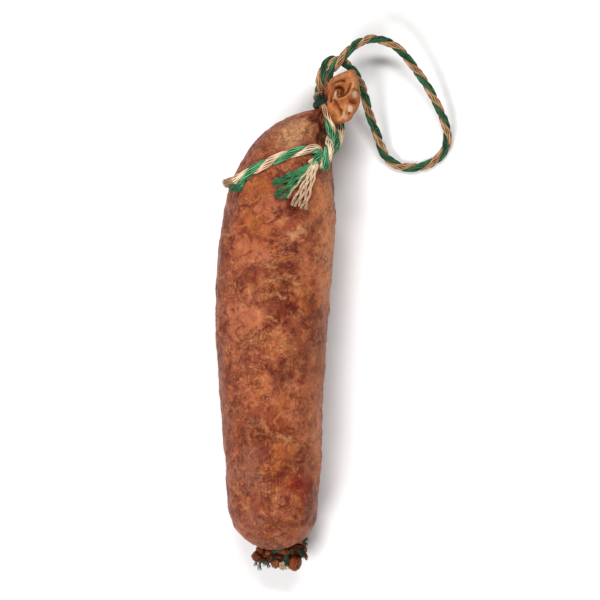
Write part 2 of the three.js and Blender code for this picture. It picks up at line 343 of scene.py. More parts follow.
def new_tree(name, inputs):
    """A geometry tree with named inputs, its maker and the inputs as terms."""
    tree = bpy.data.node_groups.new(name, "GeometryNodeTree")
    kinds = {"INT": "NodeSocketInt", "MATERIAL": "NodeSocketMaterial", "FLOAT": "NodeSocketFloat"}
    tree.interface.new_socket("Geometry", in_out="INPUT", socket_type="NodeSocketGeometry")
    for label, kind in inputs.items():
        tree.interface.new_socket(label, in_out="INPUT", socket_type=kinds[kind])
    tree.interface.new_socket("Geometry", in_out="OUTPUT", socket_type="NodeSocketGeometry")
    maker = Maker(tree)
    source = maker.add("NodeGroupInput")
    terms = {s.name: Term(maker, s) for s in source.socket.node.outputs if s.name}
    return tree, maker, terms


def copied_path(make, term, count):
    """Even points along the path, copied count times, and the number of each copy."""
    path = make.add("GeometryNodeMeshToCurve", {0: term["Geometry"]})
    path = make.add("GeometryNodeResampleCurve", {0: path, 3: term["Step"]}, mode="LENGTH")
    path = make.add("GeometryNodeSetCurveNormal", {0: path}, mode="MINIMUM_TWIST")
    copies = make.add("GeometryNodeDuplicateElements", {0: path, 2: count}, domain="SPLINE")
    return copies, copies.output(1)


def offset_frame(make):
    """The two directions across a path, at each of its points."""
    along = make.add("GeometryNodeInputTangent")
    side = make.add("GeometryNodeInputNormal")
    up = make.add("ShaderNodeVectorMath", {0: along, 1: side}, operation="CROSS_PRODUCT")
    return side, up


def store(make, geometry, name, kind, value):
    """Keeps a value on the points, for the finish to read."""
    sockets = {0: geometry, 2: name, 3: value}
    return make.add("GeometryNodeStoreNamedAttribute", sockets, data_type=kind, domain="POINT")


def stored(make, name, kind="FLOAT"):
    """Reads a value that `store` kept."""
    return make.add("GeometryNodeInputNamedAttribute", {0: name}, data_type=kind)


def wandering(make, vector):
    """A random shift, of up to half a unit each way, that changes with a vector."""
    shift = make.add("ShaderNodeTexNoise", {"Vector": vector, "Scale": 1.0, "Detail": 1.0}, out=1)
    return make.add("ShaderNodeVectorMath", {0: shift, 1: (0.5, 0.5, 0.5)}, operation="SUBTRACT")


def yarn_tubes(make, copies, index, along, bundle, middle_shift, offset, thin, full, sides):
    """Moves the copies of a path off it and makes each a round tube."""
    middle = make.add("GeometryNodeInputPosition") + middle_shift
    reach = make.add("ShaderNodeVectorMath", {0: offset}, 1, operation="LENGTH")
    tone = make.add("FunctionNodeRandomValue", {2: 0.0, 3: 1.0, 7: index, 8: bundle}, 1)
    paths = store(make, copies, "middle", "FLOAT_VECTOR", middle)
    paths = store(make, paths, "reach", "FLOAT", reach)
    paths = store(make, paths, "tone", "FLOAT", tone)
    paths = store(make, paths, "along", "FLOAT", along * (2 * math.pi / FIBRE_TURN))
    paths = store(make, paths, "yarn", "FLOAT", index)
    paths = make.add("GeometryNodeSetPosition", {0: paths, 3: offset + middle_shift})
    circle = make.add("GeometryNodeCurvePrimitiveCircle", {0: sides, 4: 1.0})
    turn = make.add("GeometryNodeSplineParameter") * (2 * math.pi)
    circle = store(make, circle, "turn", "FLOAT", turn)
    mesh = make.add("GeometryNodeCurveToMesh", {0: paths, 1: circle, 2: thin * 0.5, 3: True})
    angle = stored(make, "turn") + stored(make, "along")
    fibre = make.vector(
        make.maths("COSINE", angle),
        make.maths("SINE", angle),
        stored(make, "along") * FIBRE_STRETCH + stored(make, "yarn") * 7.3,
    )
    mesh = store(make, mesh, "fibre", "FLOAT_VECTOR", fibre)
    sockets = {0: make.add("GeometryNodeInputPosition"), 1: stored(make, "middle", "FLOAT_VECTOR")}
    apart = make.add("ShaderNodeVectorMath", sockets, 1, operation="DISTANCE")
    mesh = store(make, mesh, "raised", "FLOAT", (apart - stored(make, "reach")) / (full * 0.5))
    return make.add("GeometryNodeSetShadeSmooth", {0: mesh})


def end_tree(make, geometry):
    """The tree's last node."""
    result = make.tree.nodes.new("NodeGroupOutput")
    make.tree.links.new(geometry.socket, result.inputs[0])


print("tree helpers ready")

# %% [markdown]
# ## The twine's own tree
#
# A copy's number, odd or even, says which strand it belongs to. Its place round
# the twine is how far along the path it is, divided by the length of one turn,
# and a yarn's place in its strand comes the same way, with a turn of its own.
# A little random drift keeps the twine from looking like a machined screw.

# %% Twine tree
TWINE_INPUTS = {
    "Step": "FLOAT",
    "Lay": "FLOAT",
    "Yarn Lay": "FLOAT",
    "Strand Offset": "FLOAT",
    "Strand Depth": "FLOAT",
    "Strand Width": "FLOAT",
    "Yarns": "INT",
    "Yarn Thickness": "FLOAT",
    "Start Turn": "FLOAT",
    "Unevenness": "FLOAT",
    "Splay": "FLOAT",
    "Splay Length": "FLOAT",
    "Seed": "INT",
    "First Colour": "MATERIAL",
    "Second Colour": "MATERIAL",
}


def laid_twine_tree():
    """Two strands of yarns laid round a path."""
    tree, make, term = new_tree("laid_twine", TWINE_INPUTS)
    copies, index = copied_path(make, term, term["Yarns"] * 2.0)
    strand = make.maths("MODULO", index, 2.0)
    number = make.maths("FLOOR", index * 0.5)
    along = make.add("GeometryNodeSplineParameter", out=1)
    left_over = make.add("GeometryNodeSplineLength") - along
    open_end = make.smooth(left_over, 0.0, term["Splay Length"], 1.0, 0.0) * term["Splay"]

    spin = (along / term["Lay"] + term["Start Turn"] + strand * 0.5) * (2 * math.pi)
    inner = (number / term["Yarns"] - along / term["Yarn Lay"]) * (2 * math.pi)
    side, up = offset_frame(make)
    radial = side * make.maths("COSINE", spin) + up * make.maths("SINE", spin)
    round_it = up * make.maths("COSINE", spin) - side * make.maths("SINE", spin)
    # The odd factors only keep the yarns and the seeds apart in the noise.
    wander = wandering(make, make.vector(along * YARN_DRIFT, index * 3.7, term["Seed"] * 5.1))
    swell = wandering(make, make.vector(along * TWINE_DRIFT, strand * 9.1, term["Seed"] * 2.3))
    middle_shift = radial * (term["Strand Offset"] * (1.0 + open_end)) + swell * term["Unevenness"]
    offset = radial * (make.maths("COSINE", inner) * term["Strand Depth"])
    wide = term["Strand Width"] * (1.0 + open_end * 0.6)
    offset = offset + round_it * (make.maths("SINE", inner) * wide)
    offset = offset + wander * term["Unevenness"]

    copies = store(make, copies, "strand", "FLOAT", strand)
    thick = term["Yarn Thickness"]
    yarns = yarn_tubes(
        make, copies, index, along, term["Seed"], middle_shift, offset, thick, thick, TWINE_TUBE_SIDES
    )
    yarns = make.add("GeometryNodeRealizeInstances", {0: yarns})
    yarns = make.add("GeometryNodeSetMaterial", {0: yarns, 2: term["First Colour"]})
    sockets = {0: stored(make, "strand"), 1: 0.5}
    is_second = make.add("FunctionNodeCompare", sockets, operation="GREATER_THAN")
    yarns = make.add("GeometryNodeSetMaterial", {0: yarns, 1: is_second, 2: term["Second Colour"]})
    end_tree(make, yarns)
    return tree


twine_tree = laid_twine_tree()
print("twine tree has", len(twine_tree.nodes), "nodes")

# %% [markdown]
# ## From a route to a piece
#
# The routes are those of the solids, point for point. `path_through` draws the
# smooth curve that the solids follow too. `grown` hangs a chain of edges under
# the tree, takes the mesh that comes out, and throws the chain away.

# %% Routes and growing


def path_through(points, step=0.4):
    """Points in millimetres along a centripetal spline through a route."""
    p = np.array(points, float)
    p = np.vstack([2 * p[0] - p[1], p, 2 * p[-1] - p[-2]])
    parts = []
    for a, b, c, d in zip(p, p[1:], p[2:], p[3:]):
        u, v, w = (np.linalg.norm(leg) ** 0.5 for leg in (b - a, c - b, d - c))
        start = ((b - a) / u - (c - a) / (u + v) + (c - b) / v) * v
        end = ((c - b) / v - (d - b) / (v + w) + (d - c) / w) * v
        t = np.linspace(0, 1, max(2, round(v * v / step)), endpoint=False)[:, None]
        parts.append(
            (2 * t**3 - 3 * t**2 + 1) * b
            + (t**3 - 2 * t**2 + t) * start
            + (3 * t**2 - 2 * t**3) * c
            + (t**3 - t**2) * end
        )
    return np.vstack(parts + [p[-2:-1]])


def length_of(points):
    """The length of a chain of points."""
    return float(np.linalg.norm(np.diff(points, axis=0), axis=1).sum())


def shortened(points, less):
    """A chain of points without its last few millimetres."""
    reach = np.append(0.0, np.linalg.norm(np.diff(points, axis=0), axis=1).cumsum())
    return points[reach < reach[-1] - less]


def chains(name, routes):
    """An object of plain edges, one chain for each route, in metres."""
    points, edges = [], []
    for route in routes:
        first = len(points)
        points += [tuple(p * MM) for p in route]
        edges += [(i, i + 1) for i in range(first, len(points) - 1)]
    mesh = bpy.data.meshes.new(name)
    mesh.from_pydata(points, edges, [])
    guide = bpy.data.objects.new(name, mesh)
    scene.collection.objects.link(guide)
    return guide


def grown(name, tree, guide, values):
    """The plain mesh that a tree makes of a guide, as a new piece."""
    modifier = guide.modifiers.new(tree.name, "NODES")
    modifier.node_group = tree
    for item in tree.interface.items_tree:
        if item.item_type == "SOCKET" and item.in_out == "INPUT" and item.name in values:
            modifier[item.identifier] = values[item.name]
    graph = bpy.context.evaluated_depsgraph_get()
    mesh = bpy.data.meshes.new_from_object(
        guide.evaluated_get(graph), preserve_all_data_layers=True, depsgraph=graph
    )
    bpy.data.objects.remove(guide)
    mesh.name = name
    piece = bpy.data.objects.new(name, mesh)
    scene.collection.objects.link(piece)
    mesh.calc_loop_triangles()
    print(f"{name}: {len(mesh.loop_triangles)} triangles")
    return piece


def dress(piece, slot, *nodes):
    """The piece rides on the one body and stands for its solids."""
    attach(piece, "root")
    if nodes:
        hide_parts(*nodes)


print("route helpers ready")

# %% [markdown]
# ## The hanging loop and the two tails
#
# The loop leaves the tie on its left, swings out to the right over the table
# and comes back to the tie. Both ends of the knot hang down over the shoulder:
# one crosses over the other, turns under it and lies out to the left, and the
# other one ends in loose yarns. The loop has carried the sausage, so its twine
# is pulled tight and thin. The left tail has slackened, so its lay is longer.

# %% Twine routes
LOOP = [
    [14.1, 103.7, 26.6], [14.3, 106.0, 27.2], [14.4, 108.9, 27.6], [15.3, 112.3, 27.6],
    [16.6, 115.2, 27.2], [18.3, 117.2, 26.6], [20.8, 118.1, 26.0], [23.0, 117.8, 25.4],
    [25.6, 116.6, 24.8], [27.8, 114.8, 24.0], [31.0, 110.9, 21.6], [34.0, 104.3, 17.4],
    [36.7, 94.6, 12.6], [40.5, 84.6, 7.8], [44.2, 75.3, 4.2], [50.5, 70.6, 2.2],
    [57.9, 69.9, 2.0], [65.0, 71.9, 2.1], [70.2, 76.1, 3.0], [72.4, 81.5, 4.4],
    [72.0, 87.8, 6.0], [65.7, 102.6, 9.4], [56.8, 115.8, 13.0], [48.8, 124.4, 16.2],
    [39.4, 127.7, 20.0], [32.3, 125.8, 25.0], [28.4, 122.9, 28.0], [25.6, 120.0, 29.6],
    [22.8, 116.9, 29.6], [21.5, 115.3, 28.6], [20.2, 113.7, 26.4], [18.7, 111.5, 24.4],
    [17.7, 108.9, 22.6], [17.6, 105.8, 21.4], [17.8, 103.8, 20.6],
]
TAIL_LEFT = [
    [17.8, 94.1, 32.6], [18.5, 90.6, 33.1], [19.2, 86.3, 34.3], [19.3, 83.4, 36.2],
    [19.0, 80.7, 39.7], [18.7, 79.0, 42.9], [18.2, 76.4, 46.5], [17.5, 72.9, 47.4],
    [16.7, 69.7, 45.2], [15.1, 70.0, 40.9], [14.6, 73.7, 39.4], [12.9, 77.1, 40.9],
    [9.8, 77.1, 42.4], [5.8, 76.2, 44.0], [2.4, 75.3, 45.0], [-1.8, 74.0, 45.6],
    [-5.2, 72.6, 45.6], [-8.4, 71.2, 45.2], [-12.4, 69.3, 44.3], [-15.4, 67.7, 43.2],
    [-19.0, 65.7, 41.5], [-21.7, 64.2, 39.8], [-25.0, 62.3, 37.4], [-27.6, 60.9, 35.4],
]
TAIL_FRAYED = [
    [22.9, 90.8, 27.0], [23.4, 88.1, 27.7], [23.5, 86.4, 28.2], [23.3, 84.0, 29.3],
    [23.0, 82.6, 30.2], [22.3, 80.7, 31.9], [21.7, 79.6, 33.1], [20.8, 78.1, 35.1],
    [20.1, 77.3, 36.5], [19.2, 76.2, 38.8], [18.6, 75.5, 40.4], [17.4, 74.5, 42.6],
    [16.1, 73.9, 43.4], [13.9, 73.1, 44.4], [12.6, 71.9, 44.9], [10.8, 69.7, 45.2],
]
# Where the twine comes out of the tie, beyond the ends of the free lengths.
LOOP_ROOTS = [[13.9, 100.9, 26.0]], [[18.0, 101.2, 20.2]]
TAIL_LEFT_ROOT = [[17.2, 97.2, 31.4]]
# The last of the left tail, where its yarns have come apart.
LEFT_END_LOOSE = 5.0
LAID = {
    "Step": 0.5 * MM,
    "Lay": -16.2 * MM,
    "Yarn Lay": -12.0 * MM,
    "Strand Offset": 1.0 * MM,
    "Strand Depth": 0.78 * MM,
    "Strand Width": 1.36 * MM,
    "Yarns": 9,
    "Yarn Thickness": 0.68 * MM,
    "Start Turn": 0.0,
    "Unevenness": 0.3 * MM,
    "Splay": 0.0,
    "Splay Length": 6.0 * MM,
    "Seed": 3,
    "First Colour": YARN["green_yarn"],
    "Second Colour": YARN["natural_yarn"],
}
DARKER = {"First Colour": YARN["green_darker"], "Second Colour": YARN["natural_darker"]}
PAINTED_SHADE_PAIR = {"First Colour": YARN["green_painted_shade"], "Second Colour": YARN["natural_painted_shade"]}
TIGHT = {
    "Strand Offset": 0.94 * MM,
    "Strand Depth": 0.72 * MM,
    "Strand Width": 1.24 * MM,
    "Yarn Thickness": 0.64 * MM,
}
SLACK = {"Lay": -18.8 * MM, "Yarn Lay": -14.0 * MM}


def laid(name, line, *changes):
    """Twine along a smooth line in millimetres, with some of its sizes changed."""
    values = dict(LAID)
    for change in changes:
        values.update(change)
    return grown(name, twine_tree, chains(name + "_guide", [line]), values)


loop_line = path_through(LOOP)
loop_rope = path_through(LOOP_ROOTS[0] + LOOP + LOOP_ROOTS[1])
left_line = shortened(path_through(TAIL_LEFT), LEFT_END_LOOSE)
left_rope = shortened(path_through(TAIL_LEFT_ROOT + TAIL_LEFT), LEFT_END_LOOSE)
frayed_line = path_through(TAIL_FRAYED)

loop = laid("loop_twine", loop_rope, DARKER, TIGHT, {"Start Turn": 0.6})
left_tail = laid("left_tail_twine", left_rope, SLACK, {"Start Turn": 0.51, "Seed": 8})
frayed_tail = laid("frayed_tail_twine", frayed_line, {"Start Turn": 0.55, "Seed": 5, "Splay": 0.3})
dress(loop, "twine", "twine_loop")
dress(left_tail, "twine", "tail_left")
dress(frayed_tail, "twine", "tail_frayed")
for piece, line in ((loop, loop_line), (left_tail, left_line), (frayed_tail, frayed_line)):
    print(f"{piece.name}: {length_of(line):.1f} mm of twine")

# %% [markdown]
# ## The loose ends
#
# Beyond the crossing the short tail has come apart. Its green yarns fan out to
# the left in three ragged bundles and its natural yarns hang down. The end of
# the long tail has opened too, natural above and green below. This second tree
# splits every yarn into fibres, which wander and open towards the tip, and each
# yarn keeps the crimp that the twine had pressed into it.

# %% Frayed yarns
# How quickly a fibre drifts, in noise units for each metre.
FIBRE_DRIFT = 260.0
FIBRE_TUBE_SIDES = 5
FRAY_INPUTS = {
    "Step": "FLOAT",
    "Fibres": "INT",
    "Bundle": "FLOAT",
    "Tip Spread": "FLOAT",
    "Twist": "FLOAT",
    "Fibre Thickness": "FLOAT",
    "Unevenness": "FLOAT",
    "Seed": "INT",
    "Finish": "MATERIAL",
}


def frayed_yarn_tree():
    """Each yarn's path becomes a bundle of fibres that opens and thins towards its tip."""
    tree, make, term = new_tree("frayed_yarns", FRAY_INPUTS)
    copies, index = copied_path(make, term, term["Fibres"])
    factor = make.add("GeometryNodeSplineParameter")
    along = make.add("GeometryNodeSplineParameter", out=1)
    flare = 1.0 + (factor * factor * factor) * term["Tip Spread"]
    angle = (index / term["Fibres"] + along / term["Twist"]) * (2 * math.pi)
    side, up = offset_frame(make)
    ringed = side * make.maths("COSINE", angle) + up * make.maths("SINE", angle)
    here = make.add("GeometryNodeInputPosition")
    wander = wandering(make, here * FIBRE_DRIFT + make.vector(index * 4.3, 0.0, term["Seed"] * 3.1))
    offset = ringed * (term["Bundle"] * flare) + wander * (term["Unevenness"] * (0.4 + factor * 1.6))
    thick = term["Fibre Thickness"]
    thin = thick * (1.0 - factor * 0.3)
    no_shift = (0.0, 0.0, 0.0)
    fibres = yarn_tubes(
        make, copies, index, along, term["Seed"], no_shift, offset, thin, thick, FIBRE_TUBE_SIDES
    )
    fibres = make.add("GeometryNodeRealizeInstances", {0: fibres})
    end_tree(make, make.add("GeometryNodeSetMaterial", {0: fibres, 2: term["Finish"]}))
    return tree


fray_tree = frayed_yarn_tree()
print("fray tree has", len(fray_tree.nodes), "nodes")

# %% [markdown]
# ## Placing the loose yarns
#
# Each loose yarn is a line from where it leaves the twine to its tip, bowed up
# a little, so seven numbers hold it and it can be moved by hand. Hair curves
# combed by hand would be another way, but they would be lost when the script
# runs again.

# %% Loose yarns
FRAYED = {
    "Step": 0.5 * MM,
    "Fibres": 7,
    "Bundle": 0.26 * MM,
    "Tip Spread": 1.0,
    "Twist": 5.0 * MM,
    "Fibre Thickness": 0.32 * MM,
    "Unevenness": 0.4 * MM,
    "Seed": 11,
}
# Start and tip of each loose yarn, and how far it bows up between them.
GREEN_YARNS = [
    [10.3, 70.5, 45.4, -7.1, 62.2, 49.6, 0.8], [10.1, 69.8, 46.0, -6.4, 61.5, 49.8, 1.2],
    [9.9, 69.2, 46.2, -6.9, 60.8, 49.6, 0.9], [9.4, 68.5, 46.0, -5.5, 59.9, 49.4, 0.6],
    [9.4, 68.5, 45.6, -6.4, 56.1, 49.6, 1.0], [9.2, 67.6, 45.8, -5.5, 55.5, 49.7, 0.8],
    [9.0, 66.9, 45.6, -4.9, 57.0, 49.4, 0.6], [9.2, 66.7, 45.4, -3.1, 54.3, 49.7, 0.9],
    [9.0, 66.0, 45.4, -1.9, 54.6, 49.6, 0.7], [9.4, 67.6, 45.0, -1.3, 56.1, 49.2, 0.5],
]
NATURAL_YARNS = [
    [11.7, 71.2, 45.6, -0.4, 55.1, 49.4, 0.8], [12.1, 71.4, 46.2, 1.4, 51.9, 49.6, 1.1],
    [12.6, 71.6, 46.4, 3.2, 51.2, 49.6, 1.2], [13.0, 71.4, 46.4, 4.7, 51.4, 49.4, 1.0],
    [13.5, 71.2, 46.0, 6.1, 50.3, 49.4, 0.9], [13.7, 70.7, 45.6, 7.7, 50.0, 49.0, 0.8],
    [12.6, 70.3, 45.4, 2.7, 54.1, 48.9, 0.5],
]
LEFT_NATURAL = [
    [-20.1, 65.7, 41.2, -29.1, 63.3, 35.9, 0.3], [-20.1, 65.3, 41.6, -29.4, 62.6, 36.0, 0.4],
    [-20.1, 64.8, 41.6, -29.3, 61.9, 35.9, 0.3], [-20.1, 64.4, 41.4, -28.9, 61.2, 35.6, 0.3],
    [-20.1, 64.2, 40.8, -28.3, 60.4, 35.1, 0.2],
]
LEFT_GREEN = [
    [-19.7, 64.4, 41.0, -26.9, 60.0, 36.2, 0.3], [-19.7, 63.9, 41.4, -26.0, 59.0, 36.9, 0.4],
    [-19.7, 63.5, 41.4, -24.7, 58.3, 37.8, 0.5], [-19.5, 63.0, 41.2, -23.2, 57.9, 38.8, 0.4],
    [-19.2, 62.8, 40.6, -21.7, 58.1, 39.6, 0.3], [-19.5, 63.7, 40.4, -25.1, 59.6, 36.8, 0.2],
]
# One wave of a yarn's crimp, and how much flatter it is upwards than sideways.
CRIMP_LENGTH, CRIMP_FLATNESS = 6.8, 0.6


def bowed(row, crimp, count=40):
    """A yarn's line from its start to its tip, bowed up and crimped."""
    start, tip, bow = np.array(row[:3]), np.array(row[3:6]), row[6]
    upwards = np.array([0, 0, 1])
    t = np.linspace(0, 1, count)[:, None]
    leg = tip - start
    across = np.cross(leg, upwards)
    across = across / np.linalg.norm(across)
    phase = 2 * math.pi * t * np.linalg.norm(leg) / CRIMP_LENGTH + 2.1 * tip[0]
    wave = np.sin(phase) * across + CRIMP_FLATNESS * np.cos(phase) * upwards
    wave = crimp * np.minimum(1, 3 * t) * wave
    return start + leg * t + 4 * t * (1 - t) * np.array([0, 0, bow]) + wave


def loose_yarns(name, rows, slot, node, crimp, changes):
    """A piece of loose yarns that stands for a node's end."""
    guide = chains(name + "_guide", [bowed(row, crimp) for row in rows])
    piece = grown(name, fray_tree, guide, FRAYED | changes)
    dress(piece, slot, node)
    return piece


fray_green = loose_yarns(
    "fray_green_yarns", GREEN_YARNS, "green_yarn", "fray_green", 0.32,
    {"Finish": YARN["green_yarn"], "Bundle": 0.31 * MM, "Tip Spread": 1.3},
)
fray_natural = loose_yarns(
    "fray_natural_yarns", NATURAL_YARNS, "natural_yarn", "fray_natural", 0.26,
    {"Finish": YARN["natural_yarn"], "Seed": 4},
)
left_end_natural = loose_yarns(
    "left_end_natural_yarns", LEFT_NATURAL, "natural_yarn", "tail_left", 0.1,
    {"Finish": YARN["natural_darker"], "Seed": 14, "Bundle": 0.24 * MM, "Fibre Thickness": 0.34 * MM},
)
left_end_green = loose_yarns(
    "left_end_green_yarns", LEFT_GREEN, "green_yarn", "tail_left", 0.16,
    {"Finish": YARN["green_yarn"], "Seed": 17, "Bundle": 0.26 * MM, "Fibre Thickness": 0.36 * MM},
)

# %% [markdown]
# ## The cords
#
# Each free length of twine leaves the tie, and the loop goes back into it. The
# lengths printed with the routes come from the same smooth lines as the yarns, so
# they can't drift from what is seen. The left tail's line stops where its yarns
# part, and its loose yarns go on from there.

# %% Cords


# %% [markdown]
# ## The ties
#
# The neck is bound with the same twine, a turn and a third of it between the
# two ends of the loop. The other end has one turn, and only its cut yarns show
# from above, as small green tips and a green tuft between the lobes of the
# casing. Each tie is a coil worked out from a few numbers, and the twine's own
# tree lays the yarns along it.

# %% Ties
NECK_TIE = {"x": 17.4, "y": 99.1, "z": 26.0, "ring": 4.15, "turns": 1.375, "pitch": 3.4, "start": 120.0}
BOTTOM_TIE = {"x": -3.1, "y": -103.2, "z": 16.0, "ring": 5.3, "turns": 1.0, "pitch": 0.0, "start": 70.0}
COIL_POINTS = 16


def winding(tie):
    """Points round a neck of the casing, from its first turn down."""
    rows = []
    for i in range(round(tie["turns"] * COIL_POINTS) + 1):
        a = math.radians(tie["start"]) + 2 * math.pi * i / COIL_POINTS
        y = tie["y"] + tie["pitch"] * (tie["turns"] / 2 - i / COIL_POINTS)
        rows.append([tie["x"] + tie["ring"] * math.cos(a), y, tie["z"] + tie["ring"] * math.sin(a)])
    return rows


neck_coil, bottom_coil = path_through(winding(NECK_TIE)), path_through(winding(BOTTOM_TIE))
neck_tie = laid("neck_tie_twine", neck_coil, DARKER, {"Start Turn": 0.7, "Seed": 21})
dress(neck_tie, "twine", "neck_tie")
# This tie lies in the shade under the end of the body, so it takes the copy of the yarns darkened with
# painted shade.
bottom_tie = laid("bottom_tie_twine", bottom_coil, PAINTED_SHADE_PAIR, TIGHT, {"Seed": 31})
dress(bottom_tie, "twine", "bottom_tie")

# Start and tip of each tuft, and how far it bows up between them.
GREEN_TUFTS = [
    [-13.9, -107.6, 17.6, -14.8, -110.9, 16.8, 0.2], [-12.5, -107.6, 18.2, -13.0, -112.7, 17.0, 0.3],
    [-11.1, -108.0, 17.8, -10.7, -110.8, 17.0, 0.2], [-9.7, -108.4, 17.6, -8.7, -111.7, 16.8, 0.2],
    [-1.4, -106.1, 20.6, -0.7, -110.4, 19.4, 0.4], [-0.9, -106.1, 21.0, -0.2, -110.8, 19.4, 0.5],
    [-0.2, -106.3, 20.8, 0.2, -110.1, 19.6, 0.4], [-0.5, -105.8, 21.0, 0.9, -104.2, 21.2, 0.3],
    [4.1, -103.6, 21.0, 7.7, -106.9, 18.2, 0.5], [4.5, -103.2, 20.4, 7.2, -105.0, 18.6, 0.5],
    [6.9, -99.6, 19.8, 8.9, -98.5, 19.0, 0.2], [6.6, -100.8, 20.4, 8.6, -101.2, 19.6, 0.2],
    [-7.5, -107.4, 19.2, -6.1, -106.9, 19.6, 0.2],
]
PALE_TUFTS = [
    [-2.3, -109.0, 19.2, -0.7, -112.6, 18.0, 0.3], [-3.0, -109.6, 19.0, -2.3, -112.9, 17.8, 0.3],
    [-1.1, -109.4, 19.2, 0.7, -112.4, 18.2, 0.3], [-3.6, -109.4, 18.8, -3.4, -112.2, 17.6, 0.2],
]
# The green tufts take the same copy of the green yarn, darkened with painted shade.
loose_yarns(
    "bottom_green_tufts", GREEN_TUFTS, "green_yarn", "bottom_tie", 0.1,
    {"Finish": YARN["green_painted_shade"], "Seed": 41, "Bundle": 0.46 * MM},
)
loose_yarns(
    "bottom_pale_tufts", PALE_TUFTS, "natural_yarn", "bottom_tie", 0.1,
    {"Finish": YARN["natural_yarn"], "Seed": 43, "Bundle": 0.22 * MM, "Fibre Thickness": 0.26 * MM},
)

# %% [markdown]
# ## The casing's shape
#
# The sausage is a tube whose width and height change along it. The table gives
# its left and right side and its top and bottom at each height, and a smooth
# curve runs through the rows. Each ring is an ellipse, and the relief of the
# meat under the skin is added along the normals afterwards.

# %% Outline tables
# Rows from the hanging end down: y, left x, right x, top z and bottom z.
BODY = [
    [109.4, 20.4, 25.0, 36.0, 31.4], [107.0, 18.2, 22.6, 33.0, 28.0], [104.4, 16.4, 20.2, 29.0, 24.8],
    [101.0, 15.4, 19.4, 28.0, 24.0], [97.8, 15.2, 19.4, 28.1, 23.9], [96.0, 13.4, 19.0, 29.6, 22.2],
    [94.4, 6.4, 18.6, 31.2, 20.0], [92.2, 0.2, 18.3, 33.2, 17.8], [88.0, -7.2, 18.5, 36.4, 13.2],
    [82.6, -14.0, 18.9, 39.6, 8.6], [77.2, -18.1, 19.3, 42.0, 4.9], [69.1, -22.3, 20.3, 44.9, 1.3],
    [60.3, -26.7, 21.1, 46.7, 0.0], [50.1, -28.7, 21.4, 47.8, -0.6], [30.0, -31.4, 20.4, 48.4, -0.7],
    [9.5, -32.5, 18.6, 48.2, -0.7], [-17.6, -32.1, 16.7, 47.8, -0.7], [-44.7, -30.2, 15.4, 47.2, -0.7],
    [-71.8, -28.0, 14.4, 45.8, -0.5], [-85.3, -26.5, 13.4, 44.0, 0.2], [-92.1, -24.5, 11.7, 41.6, 3.0],
    [-98.0, -20.0, 7.2, 37.4, 9.5], [-100.4, -16.2, 3.4, 34.2, 14.0], [-101.9, -13.1, -0.6, 31.4, 18.5],
    [-103.1, -9.4, -5.0, 28.2, 23.2], [-103.5, -7.6, -6.8, 26.6, 25.4],
]
NUB = [
    [113.0, 27.4, 29.4, 37.4, 35.6], [112.2, 25.4, 30.2, 38.8, 34.0], [110.8, 22.4, 30.7, 39.9, 32.2],
    [108.6, 19.4, 31.3, 40.6, 30.6], [105.6, 18.2, 31.9, 41.0, 29.8], [100.2, 17.8, 32.2, 41.3, 29.2],
    [95.8, 17.6, 31.3, 41.0, 29.6], [93.0, 18.9, 29.9, 39.9, 31.0], [91.2, 19.8, 28.9, 38.8, 32.4],
    [89.8, 20.9, 27.4, 37.6, 34.2], [88.8, 22.4, 24.2, 36.4, 35.6],
]
print(len(BODY), "rows for the body and", len(NUB), "for the nub")

# %% [markdown]
# ## From a table to a skin
#
# The curves through a table are monotone cubics, which never swing past the
# rows they join, so the sausage has no bulge that the table doesn't give it.
# Each row of the finished grid is a ring, and the first and last rings are
# closed with a fan of triangles.

# %% Skins from tables
def rows_at(table, heights):
    """The table's columns at any heights, on monotone cubics through its rows."""
    rows = np.array(table, float)[::-1]
    y, values = rows[:, 0], rows[:, 1:]
    slopes = np.diff(values, axis=0) / np.diff(y)[:, None]
    before, after = slopes[:-1], slopes[1:]
    same = before * after > 0
    middle = np.where(same, 2 * before * after / np.where(same, before + after, 1), 0)
    tangents = np.vstack([slopes[:1], middle, slopes[-1:]])
    k = np.clip(np.searchsorted(y, heights, side="right") - 1, 0, len(y) - 2)
    step = (y[k + 1] - y[k])[:, None]
    t = (heights - y[k])[:, None] / step
    return (
        (1 + 2 * t) * (1 - t) ** 2 * values[k]
        + t * (1 - t) ** 2 * step * tangents[k]
        + t * t * (3 - 2 * t) * values[k + 1]
        + t * t * (t - 1) * step * tangents[k + 1]
    )


def skin_grid(table, rings, sides, crowd, relief, top_crowd=0.0):
    """Rings of points, crowded towards both ends and, if asked, towards the top."""
    t = np.linspace(0, 1, rings)
    eased = crowd * (0.5 - 0.5 * np.cos(np.pi * t)) + (1 - crowd) * t
    heights = table[0][0] + (table[-1][0] - table[0][0]) * eased
    left, right, top, bottom = (c[:, None] for c in rows_at(table, heights).T)
    a = np.linspace(0, 2 * np.pi, sides, endpoint=False)[None, :]
    a = a + top_crowd * np.cos(a)
    y = heights[:, None] + 0 * a
    rx, rz = (right - left) / 2, (top - bottom) / 2
    swell = relief(a, y, np.minimum(rx, rz))
    x = (left + right) / 2 + (rx + swell) * np.cos(a)
    z = (top + bottom) / 2 + (rz + swell) * np.sin(a)
    return np.stack([x, y, z], axis=-1)


def grid_normals(points):
    """Outward unit normals of a grid whose rings close on themselves."""
    down = np.gradient(points, axis=0)
    across = np.roll(points, -1, axis=1) - np.roll(points, 1, axis=1)
    normals = np.cross(across, down)
    return normals / np.maximum(np.linalg.norm(normals, axis=-1, keepdims=True), 1e-9)


